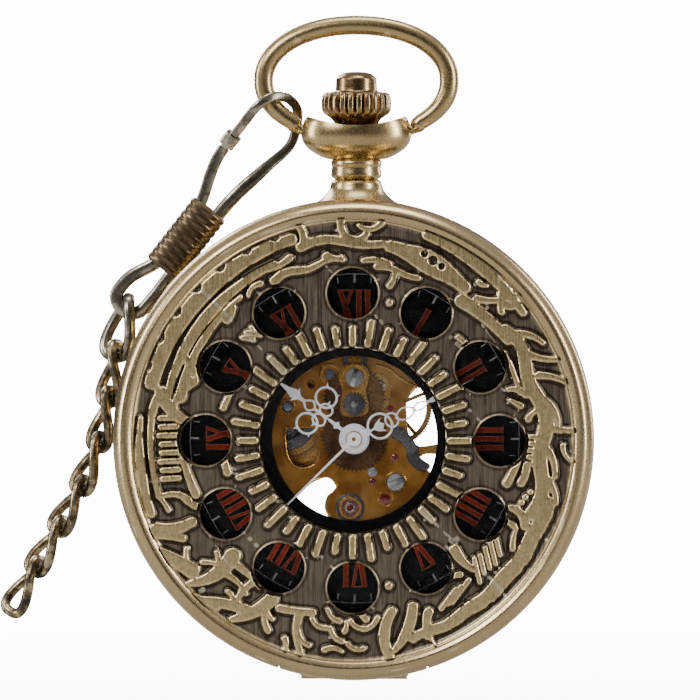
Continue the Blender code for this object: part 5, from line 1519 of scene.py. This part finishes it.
def levers_and_springs(kit):
    """The steel lever across the right window, its arm, the springs and the winding works' edge."""
    gold, dark = kit["gold"], kit["dark_steel"]
    lever = smooth_loop([(3.55, 1.0), (4.4, 1.15), (5.4, 0.35), (6.1, -0.7), (6.5, -1.9),
                         (7.4, -2.6), (7.0, -3.2), (6.1, -3.05), (5.35, -2.3), (5.0, -1.2),
                         (4.5, -0.35), (3.6, 0.1)], 7)
    dark.plate([lever], 8.82, 9.02, 0.05)
    arm = smooth_loop([(5.7, -1.0), (7.0, -0.75), (8.6, -0.6), (8.6, -1.5), (7.0, -1.55),
                       (5.9, -1.9)], 6)
    gold.plate([arm], 8.3, 8.5, 0.05)
    spring = smooth_loop([(2.4, 8.3), (3.3, 7.35), (4.6, 6.65), (5.6, 5.75), (6.5, 5.45),
                          (6.7, 5.95), (5.9, 6.7), (4.9, 7.5), (4.0, 8.3), (3.2, 9.0)], 6)
    kit["blue_steel"].plate([spring], 8.84, 8.94, 0.03)
    rib = [(2.1, 7.2, 8.84), (2.9, 7.0, 8.86), (3.5, 6.75, 8.86), (4.4, 6.0, 8.86),
           (5.5, 5.35, 8.86), (6.4, 5.0, 8.84)]
    gold.wire(curve_through(rib, 8), 0.22, 0.16)
    wheel = (0, 7.75)
    dark.plate([gear_loop(30, 0.085, 0.0), circle(0.5, 24)], 8.82, 8.96, 0.02, wheel)
    gold.rod(0.62, 8.8, 9.0, wheel)


def balance_jewel(kit):
    """Small jewels, and the balance jewel in its rings with the shock spring."""
    gold, stones, settings = kit["gold"], kit["ruby"], kit["setting"]
    for spot in (THIRD, ESCAPE, PALLET):
        jewel(stones, settings, spot, PLATE_TOP - 0.03, 0.32, 0.0)
    lone = (3.0, -6.0)
    gold.turn([(0.62, 8.8), (0.66, 8.86), (0.8, 8.86), (0.86, 8.8)], 48, lone, 0.02)
    stones.turn([(0, 8.82), (0.5, 8.81), (0.62, 8.77)], 40, lone)
    foot = 8.78
    for inner, outer, top, parts in ((1.16, 1.42, 8.93, kit["dark_steel"]),
                                     (0.86, 1.12, 8.97, gold), (0.34, 0.5, 8.95, settings)):
        ring = [(inner, foot), (inner, top), (outer, top), (outer, foot)]
        parts.turn(ring, 64, BALANCE, 0.03)
    stones.turn([(0, 8.9), (0.12, 8.9), (0.3, 8.86), (0.36, 8.8)], 40, BALANCE)
    stones.turn([(0.5, 8.81), (0.86, 8.81)], 40, BALANCE)
    for side in (-1, 1):
        spring = [(0.85, side * 0.25), (0.55, side * 0.5), (0.1, side * 0.55),
                  (-0.35, side * 0.42), (-0.6, side * 0.1), (-0.85, side * 0.14)]
        path = [(x, y, 8.97) for x, y in turned_by(spring, 0.7, BALANCE)]
        gold.wire(curve_through(path, 6), 0.09, 0.07, 8)


def bridges():
    """The striped bridges and cock, seen through the back glass."""
    edge = [(15.8 * cos(radians(a)), 15.8 * sin(radians(a))) for a in range(74, 212, 3)]
    inner = smooth_open([(-8.0, -6.6), (-7.0, -4.6), (-4.6, -3.5), (-2.2, -2.9), (-1.75, -1.0),
                         (-1.75, 1.0), (-0.9, 3.4), (2.1, 6.6)])
    room = [(-2.4, 12.2), (2.4, 12.2), (2.4, 14.5), (-2.4, 14.5)]
    barrel = [edge + inner, room, circle(1.15, 40, BARREL), circle(0.7, 32, CROWN_WHEEL),
              circle(0.4, 24, CLICK)] + [circle(0.5, 24, PILLARS[i]) for i in (0, 1)]
    outline = smooth_open([(4.3, 14.6), (7.6, 13.4), (6.5, 9.5), (5.4, 6.0), (4.85, 3.6),
                           (4.75, 1.2), (5.0, -2.4), (5.8, -6.0), (8.2, -8.6), (10.9, -10.8),
                           (9.6, -12.6), (7.4, -13.4), (5.2, -10.2), (3.0, -7.2), (0.9, -4.7),
                           (-1.3, -2.3), (-1.4, -0.4), (-1.2, 1.3), (0.6, 4.0), (2.8, 6.8),
                           (3.7, 10.5)])
    train = [outline] + [circle(0.3, 24, p) for p in (CENTRE, THIRD, ESCAPE, PALLET)]
    train += [circle(0.5, 24, PILLARS[i]) for i in (2, 3)]
    across, along = PILLARS[4][0] - BALANCE[0], PILLARS[4][1] - BALANCE[1]
    arm = [(1.4 * cos(a), 1.4 * sin(a)) for a in np.linspace(pi / 2, 3 * pi / 2, 20)]
    arm += [(hypot(across, along) + 1.5 * cos(a), 1.5 * sin(a))
            for a in np.linspace(-pi / 2, pi / 2, 20)]
    arm = turned_by(arm, atan2(along, across), BALANCE)
    cock = [arm, circle(0.3, 24, BALANCE), circle(0.5, 24, PILLARS[4])]
    for name, loops, node in (("barrel_bridge_plate", barrel, "barrel_bridge"),
                              ("train_bridge_plate", train, "train_bridge"),
                              ("balance_cock_plate", cock, "balance_cock")):
        Parts().plate(loops, BRIDGE_FOOT, BRIDGE_TOP, 0.12).done(name, M["bridge"], "case",
                                                                 (node,), angle=30)
    bridge_screws()
    bridge_jewels()
    click_spring()


def bridge_screws():
    steel = Parts()
    for i, spot in enumerate(PILLARS):
        screw_head(steel, spot, 0.85, 2.0, 2.45, 0.5 + 0.9 * i, 0.1, up=-1)
        steel.turn([(0.42, 2.45), (0.42, 3.75), (0.8, 3.75), (0.8, 7.15), (0.4, 7.15), (0.4, 8.4),
                    (0, 8.4)], 32, spot)
    screw_head(steel, CROWN_WHEEL, 1.5, 1.5, 1.85, 0.8, 0.08, up=-1)
    steel.turn([(0.62, 1.85), (0.62, 3.4), (0, 3.4)], 32, CROWN_WHEEL)
    for spot in ((-11.3, 8.3), (8.4, -9.4), (-2.8, -2.1)):
        screw_head(steel, spot, 0.45, 2.36, 2.5, 0.4, 0.12, up=-1)
    nodes = [f"pillar_screw_{i}" for i in range(1, 6)] + ["crown_wheel_screw"]
    steel.done("bridge_screws", M["steel"], "case", tuple(nodes), angle=35)


def bridge_jewels():
    stones, settings = Parts(), Parts()
    for spot in (CENTRE, THIRD, ESCAPE, PALLET, BALANCE):
        jewel(stones, settings, spot, BRIDGE_FOOT, 0.36, 0.62, up=-1)
    settings.turn([(0.95, 2.5), (0.95, 2.34), (1.2, 2.34), (1.2, 2.5)], 48, BALANCE, 0.03)
    stones.done("bridge_jewels", M["ruby"], "case", angle=35)
    settings.done("bridge_jewel_settings", M["wheel"], "case", angle=35)


def click_spring():
    """A wire that follows the ratchet wheel's edge, clear of the click, and ends in a stud."""
    points = [(BARREL[0] + 7.6 * cos(radians(a)), BARREL[1] + 7.6 * sin(radians(a)), 2.14)
              for a in range(196, 253, 3)]
    points = [p for p in points if hypot(p[0] - CLICK[0], p[1] - CLICK[1]) > 1.25]
    Parts().wire(points, 0.16, 0.3).rod(0.42, 2.0, 2.5, points[-1][:2], corner=0.06).done(
        "click_spring_wire", M["dark_steel"], "case", ("click_spring",))


def rippled(start, end, level):
    """A ring profile with fine concentric ripples, like a snailed steel face."""
    radii = np.arange(start, end, 0.11)
    return [(r, level - 0.018 * (i % 2)) for i, r in enumerate(radii)]


def winding_works():
    """The ratchet wheel on the barrel's arbor, the crown wheel and the click."""
    low, high, face = 1.9, 2.3, 1.895
    module = module_for(CROWN_WHEEL, BARREL, 54) / 2
    phase = meshed_phase(CROWN_WHEEL, 48, 0, BARREL, 60)
    parts = Parts().plate([gear_loop(60, module, phase), circle(0.8, 40)], low, high, 0.03, BARREL)
    parts.turn([(0, 8.4), (0.45, 8.4), (0.45, 7.0), (1.0, 7.0), (1.0, 2.35), (0.75, 2.35),
                (0.75, 1.85), (1.2, 1.85), (1.2, 1.62), (0, 1.62)], 48, BARREL, 0.04)
    screw_head(parts, BARREL, 1.15, 1.42, 1.66, 0.2, 0.09, up=-1)
    parts.turn(rippled(1.3, 4.9, face), 128, BARREL)
    parts.done("ratchet_wheel_fine", M["steel"], "ratchet", ("ratchet_wheel", "barrel_arbor"),
               angle=30)
    parts = Parts().plate([gear_loop(48, module), circle(0.75, 40)], low, high, 0.03, CROWN_WHEEL)
    parts.turn(rippled(1.6, 3.7, face), 128, CROWN_WHEEL)
    parts.done("crown_wheel_fine", M["steel"], "crown_wheel", ("crown_wheel",), angle=30)
    toward = atan2(BARREL[1] - CLICK[1], BARREL[0] - CLICK[0])
    reach = hypot(BARREL[1] - CLICK[1], BARREL[0] - CLICK[0]) - 6.0
    nose = smooth_loop([(reach, -0.48), (reach - 0.05, -0.28), (0.6, 0.7), (0.0, 0.85),
                        (-0.65, 0.6), (-0.85, 0.0), (-0.5, -0.7), (0.4, -0.75)], 5)
    parts = Parts().plate([turned_by(nose, toward)], low, high, 0.05, CLICK)
    screw_head(parts, CLICK, 0.52, 1.72, 1.92, 1.1, 0.12, up=-1)
    parts.turn([(0.3, 1.2), (0.3, 3.4), (0, 3.4)], 24, CLICK)
    parts.done("click_pawl", M["steel"], "click", ("click",), angle=30)


def wheel_piece(name, at, gear, foot, top, body, node, stages=(), spokes=None, leaves=None,
                bore=None, material="wheel", ripples=()):
    """A wheel with its pinion and stepped arbor as one piece. The gear and the pinion's leaves
    are (teeth, module, phase), spokes (hub, rim, count, width, turn), stages (radius, foot, top)."""
    parts = Parts()
    hole = [circle(bore, 32)] if bore else []
    openings = spoke_loops(*spokes) if spokes else []
    parts.plate([gear_loop(*gear)] + hole + openings, foot, top, 0.025, at)
    if leaves:
        pinion, low, high = leaves
        hole = [circle(bore, 24)] if bore else []
        parts.plate([gear_loop(*pinion, 0.8, 1.1)] + hole, low, high, 0.02, at)
    for radius, low, high in stages:
        if bore:
            parts.tube(bore, radius, low, high, at, 40)
        else:
            parts.rod(radius, low, high, at, 28, 0.02)
    for radius in ripples:
        low, high = top, top + 0.03
        parts.turn([(radius - 0.1, low), (radius - 0.1, high), (radius + 0.1, high),
                    (radius + 0.1, low)], 96, at, 0.01)
    parts.done(name, M[material], body, (node,), angle=30)


def going_train():
    """The barrel and the centre, third and fourth wheels, their teeth laid so that they mesh."""
    barrel_module = module_for(CENTRE, BARREL, 56) / 2
    centre_module = module_for(CENTRE, THIRD, 54) / 2
    third_module = module_for(THIRD, CENTRE, 51) / 2
    fourth_module = module_for(CENTRE, ESCAPE, 66) / 2
    centre_phase = 0.1
    barrel_phase = meshed_phase(CENTRE, 16, centre_phase, BARREL, 96)
    third_phase = meshed_phase(CENTRE, 96, centre_phase, THIRD, 12)
    fourth_phase = meshed_phase(THIRD, 90, third_phase, CENTRE, 12)
    barrel(barrel_module, barrel_phase)
    wheel_piece("centre_wheel_fine", CENTRE, (96, centre_module, centre_phase), 6.5, 6.7, "minute",
                "centre_wheel", [(0.6, 5.55, 9.0)],
                (1.3, 96 * centre_module / 2 - 0.7, 4, 0.5),
                ((16, barrel_module, centre_phase), 5.65, 6.35), bore=0.36)
    wheel_piece("third_wheel_fine", THIRD, (90, third_module, third_phase), 4.25, 4.42, "third",
                "third_wheel", [(0.13, 6.95, 8.0), (0.28, 3.75, 6.95), (0.13, 2.9, 3.75)],
                (0.8, 90 * third_module / 2 - 0.62, 5, 0.36, 0.4),
                ((12, centre_module, third_phase), 6.3, 6.9))
    wheel_piece("fourth_wheel_fine", CENTRE, (120, fourth_module, fourth_phase), 3.85, 4.03,
                "fourth", "fourth_wheel", [(0.2, 3.75, 10.85), (0.13, 2.9, 3.75)],
                (0.8, 120 * fourth_module / 2 - 0.55, 4, 0.36, 0.2),
                ((12, third_module, fourth_phase), 4.15, 4.6))
    escapement(meshed_phase(CENTRE, 120, fourth_phase, ESCAPE, 12), fourth_module)


def spiral(at, inner, growth, turns, level, count):
    """A flat spiral that grows evenly from its inner radius."""
    t = np.arange(count + 1) / count
    a, radius = 2 * pi * turns * t, inner + growth * t
    return np.stack([at[0] + radius * np.cos(a), at[1] + radius * np.sin(a),
                     np.full(count + 1, level)], 1)


def barrel(module, phase):
    """The barrel's wheel, cap, drum and mainspring."""
    wheel_piece("barrel_wheel_fine", BARREL, (96, module, phase), 5.8, 6.2, "barrel",
                "barrel_wheel", bore=1.15)
    cap = Parts().plate([gear_loop(64, 0.112), circle(3.25, 64)], 6.3, 6.6, 0.02, BARREL)
    cap.turn([(3.85, 6.18), (3.85, 6.32), (5.0, 6.32), (5.0, 6.18)], 96, BARREL, 0.02)
    cap.done("barrel_cap_teeth", M["gold"], "barrel", slot="gilt_wheel")
    plug = [(1.15, 6.2), (3.24, 6.2), (3.24, 6.5), (2.2, 6.56), (2.1, 6.4), (1.15, 6.4)]
    Parts().turn(plug, 96, BARREL, 0.04).done("barrel_cap_disc", M["dark_steel"], "barrel")
    drum = [(5.9, 5.76), (5.9, 4.5), (1.15, 4.5), (1.15, 4.7), (5.6, 4.7), (5.6, 5.76)]
    Parts().turn(drum, 96, BARREL, 0.06, closed=True).done("barrel_cup", M["wheel"], "barrel",
                                                           ("barrel_drum",))
    Parts().wire(spiral(BARREL, 1.4, 3.9, 6.5, 5.25, 400), 0.14, 0.86, 8, 4).done(
        "mainspring_coil", M["dark_steel"], "barrel", ("mainspring",))


def escapement(phase, module):
    """The escape wheel with its hooked teeth, and the pallet lever."""
    teeth = []
    for i in range(15):
        for share, radius in ((0, 2.6), (0.06, 2.58), (0.16, 2.35), (0.34, 1.95), (0.6, 1.88),
                              (0.86, 1.95), (0.95, 2.3)):
            a = 2 * pi * (i + share) / 15
            teeth.append((radius * cos(a), radius * sin(a)))
    parts = Parts().plate([teeth] + spoke_loops(0.6, 1.62, 4, 0.32), 5.6, 5.78, 0.02, ESCAPE)
    parts.plate([gear_loop(12, module, phase, 0.8, 1.1)], 3.78, 4.15, 0.02, ESCAPE)
    for radius, low, high in ((0.13, 6.0, 8.0), (0.16, 3.75, 6.0), (0.13, 2.9, 3.75)):
        parts.rod(radius, low, high, ESCAPE, 24, 0.02)
    parts.done("escape_wheel_fine", M["steel"], "escape", ("escape_wheel",), slot="gilt_wheel",
               angle=30)
    toward = atan2(BALANCE[1] - PALLET[1], BALANCE[0] - PALLET[0])
    half = [(2.3, 0.0), (2.55, 0.14), (2.55, 0.36), (1.9, 0.2), (0.35, 0.2), (0.15, 0.45),
            (-0.42, 1.5), (-0.7, 1.65), (-0.85, 1.38), (-0.6, 1.2), (-0.3, 0.4), (-0.45, 0.0)]
    outline = half + [(u, -v) for u, v in reversed(half[1:-1])]
    parts = Parts().plate([turned_by(outline, toward)], 5.5, 5.85, 0.04, PALLET)
    parts.rod(0.13, 2.9, 8.0, PALLET, 24, 0.02)
    parts.done("pallet_lever", M["steel"], "pallet", ("pallet_fork",), slot="gilt_wheel", angle=30)


def balance():
    """The balance wheel with its rim screws, and the hairspring."""
    loops = [circle(BALANCE_R, 96)] + spoke_loops(0.6, BALANCE_R - 0.36, 3, 0.36, 0.5, 14)
    parts = Parts().plate(loops, 4.3, 4.72, 0.04, BALANCE)
    for radius, low, high in ((0.13, 5.9, 8.0), (0.45, 5.5, 5.85), (0.22, 4.1, 5.5),
                              (0.13, 2.9, 4.1), (0.5, 4.05, 4.32)):
        parts.rod(radius, low, high, BALANCE)
    for i in range(12):
        a = 2 * pi * i / 12 + 0.26
        spot = (BALANCE[0] + 2.18 * cos(a), BALANCE[1] + 2.18 * sin(a))
        parts.rod(0.11, 4.2, 4.8, spot, 16)
    parts.done("balance_wheel_fine", M["wheel"], "balance", ("balance_wheel",), angle=30)
    Parts().wire(spiral(BALANCE, 0.5, 1.3, 7, 3.9, 360), 0.045, 0.16, 6, 4).done(
        "hairspring_coil", M["blue_steel"], "balance", ("hairspring",))


def motion_works():
    """The 12 to 1 gearing under the dial, from the cannon pinion to the hour wheel."""
    minute = meshed_phase(CENTRE, 16, 0.0, MINUTE_WHEEL, 48)
    hour = meshed_phase(MINUTE_WHEEL, 12, 0.0, CENTRE, 48)
    fine, coarse = 0.125, 2 / 15
    wheel_piece("cannon_pinion_fine", CENTRE, (16, fine), 8.87, 9.05, "minute", "cannon_pinion",
                [(0.78, 8.85, 10.5)], bore=0.65)
    wheel_piece("minute_wheel_fine", MINUTE_WHEEL, (48, fine, minute), 8.87, 9.04, "minute_wheel",
                "minute_wheel", [(0.5, 8.87, 9.4), (0.33, 7.6, 8.87)],
                leaves=((12, coarse, 0.0), 9.0, 9.4), material="wheel_dark")
    wheel_piece("hour_wheel_fine", CENTRE, (48, coarse, hour), 9.12, 9.3, "hour", "hour_wheel",
                [(1.05, 9.12, 10.0)], bore=0.9, material="wheel_dark", ripples=(1.5, 2.55))


def rippled(start, end, level):
    """A ring profile with fine concentric ripples, like a snailed steel face."""
    radii = np.arange(start, end, 0.11)
    return [(r, level - 0.018 * (i % 2)) for i, r in enumerate(radii)]


def hidden_parts():
    """CAD parts that stay as they are and only take a finer finish."""
    for node, key in (("sliding_clutch", "steel"), ("winding_pinion", "steel"),
                      ("setting_lever", "dark_steel")):
        item = frame["nodes"][node]
        item.data.materials.clear()
        item.data.materials.append(M[key])


# Studio


def studio():
    """A white surround for the camera; the watch itself is lit by a darker one and six lamps."""
    world = bpy.data.worlds.new("studio")
    bpy.context.scene.world = world
    world.use_nodes = True
    n = Tree(world.node_tree)
    n.tree.nodes.clear()
    seen, lit = (n.new("ShaderNodeBackground") for _ in range(2))
    n.link((1, 1, 1, 1), seen.inputs["Color"])
    n.link(SEEN_WHITE, seen.inputs["Strength"])
    split = n.new("ShaderNodeSeparateXYZ")
    n.link(n.new("ShaderNodeTexCoord").outputs["Generated"], split.inputs[0])
    level = n.new("ShaderNodeMath", operation="MULTIPLY_ADD")
    for value, socket in zip((split.outputs["Z"], 0.5, 0.5), level.inputs):
        n.link(value, socket)
    ramp = n.new("ShaderNodeValToRGB")
    n.link(level.outputs[0], ramp.inputs[0])
    stops = ramp.color_ramp.elements
    stops[0].position, stops[0].color = 0.30, (0.03, 0.028, 0.026, 1)
    stops[1].position, stops[1].color = 1.0, (0.60, 0.60, 0.62, 1)
    stops.new(0.55).color = (0.13, 0.13, 0.132, 1)
    n.link(ramp.outputs[0], lit.inputs["Color"])
    dimmer = n.new("ShaderNodeMapRange")
    n.link(split.outputs["Y"], dimmer.inputs["Value"])
    for key, number in (("From Min", -0.97), ("From Max", -0.55), ("To Min", 0.12),
                        ("To Max", 1.0)):
        n.link(number, dimmer.inputs[key])
    n.link(dimmer.outputs[0], lit.inputs["Strength"])
    mix = n.new("ShaderNodeMixShader")
    n.link(n.new("ShaderNodeLightPath").outputs["Is Camera Ray"], mix.inputs[0])
    n.link(lit.outputs[0], mix.inputs[1])
    n.link(seen.outputs[0], mix.inputs[2])
    n.link(mix.outputs[0], n.new("ShaderNodeOutputWorld").inputs["Surface"])
    for name, spot, size, power in (
            ("front_left", (-0.30, -0.42, 0.34), (0.22, 0.22), 1.9),
            ("right_strip", (0.42, -0.20, 0.10), (0.07, 0.42), 1.9),
            ("left_strip", (-0.45, -0.08, 0.06), (0.07, 0.42), 1.6),
            ("top", (0.02, -0.06, 0.50), (0.30, 0.16), 1.0),
            ("rear_left", (-0.28, 0.42, 0.30), (0.22, 0.26), 1.6),
            ("rear_right", (0.36, 0.36, 0.16), (0.08, 0.36), 1.0)):
        light = bpy.data.lights.new(name, "AREA")
        light.shape = "RECTANGLE"
        light.size, light.size_y = size
        light.energy = power
        lamp = bpy.data.objects.new(name, light)
        lamp.location = spot
        toward = Vector((0, 0, 0.01)) - Vector(spot)
        lamp.rotation_euler = toward.to_track_quat("-Z", "Y").to_euler()
        bpy.context.scene.collection.objects.link(lamp)
        lamp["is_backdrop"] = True


def floor():
    """A pale floor that shades softly for the camera towards the watch."""
    low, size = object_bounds()[0][2] - LID_DROP, 3.0
    mesh = bpy.data.meshes.new("floor")
    mesh.from_pydata([(-size, -size, low), (size, -size, low), (size, size, low),
                      (-size, size, low)], [], [(0, 1, 2, 3)])
    item = bpy.data.objects.new("floor", mesh)
    n = Nodes("floor")
    n.set(colour=(0.40, 0.40, 0.40), rough=0.6)
    glow = n.new("ShaderNodeEmission")
    n.link(n.new("ShaderNodeLightPath").outputs["Is Camera Ray"], glow.inputs["Strength"])
    distance = n.new("ShaderNodeVectorMath", operation="LENGTH")
    n.link(n.coordinates(), distance.inputs[0])
    white = n.new("ShaderNodeVectorMath", operation="SCALE")
    white.inputs[0].default_value = (1, 1, 1)
    n.link(n.ramp(distance.outputs["Value"], 0.03, 0.30, 8.0, SEEN_WHITE), white.inputs["Scale"])
    n.link(white.outputs[0], glow.inputs["Color"])
    both = n.new("ShaderNodeAddShader")
    n.link(n.shader.outputs[0], both.inputs[0])
    n.link(glow.outputs[0], both.inputs[1])
    n.link(both.outputs[0], n.output.inputs["Surface"])
    mesh.materials.append(n.material)
    bpy.context.scene.collection.objects.link(item)
    item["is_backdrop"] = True


def camera():
    """A long lens at the photograph's angle."""
    azimuth, elevation = radians(2.5), radians(2.0)
    distance, view_width = 0.62, 0.06825
    target = Vector((-0.0003, -0.0125, 0.0088))
    lens = bpy.data.cameras.new("camera")
    lens.sensor_width = 36
    lens.lens = lens.sensor_width * distance / view_width
    lens.clip_start = 0.01
    item = bpy.data.objects.new("camera", lens)
    away = Vector((sin(azimuth) * cos(elevation), -cos(azimuth) * cos(elevation), sin(elevation)))
    item.location = target + away * distance
    item.rotation_euler = (-away).to_track_quat("-Z", "Y").to_euler()
    bpy.context.scene.collection.objects.link(item)
    bpy.context.scene.camera = item


lid_face()
lid_shell()
case_shells()
pendant_cup()
bow_wire()
crown_knob()
clasp_parts()
chain()
dial_face()
hour_hand()
minute_hand()
seconds_hand()
main_plate()
dial_side()
bridges()
winding_works()
going_train()
balance()
motion_works()
hidden_parts()
studio()
floor()
camera()
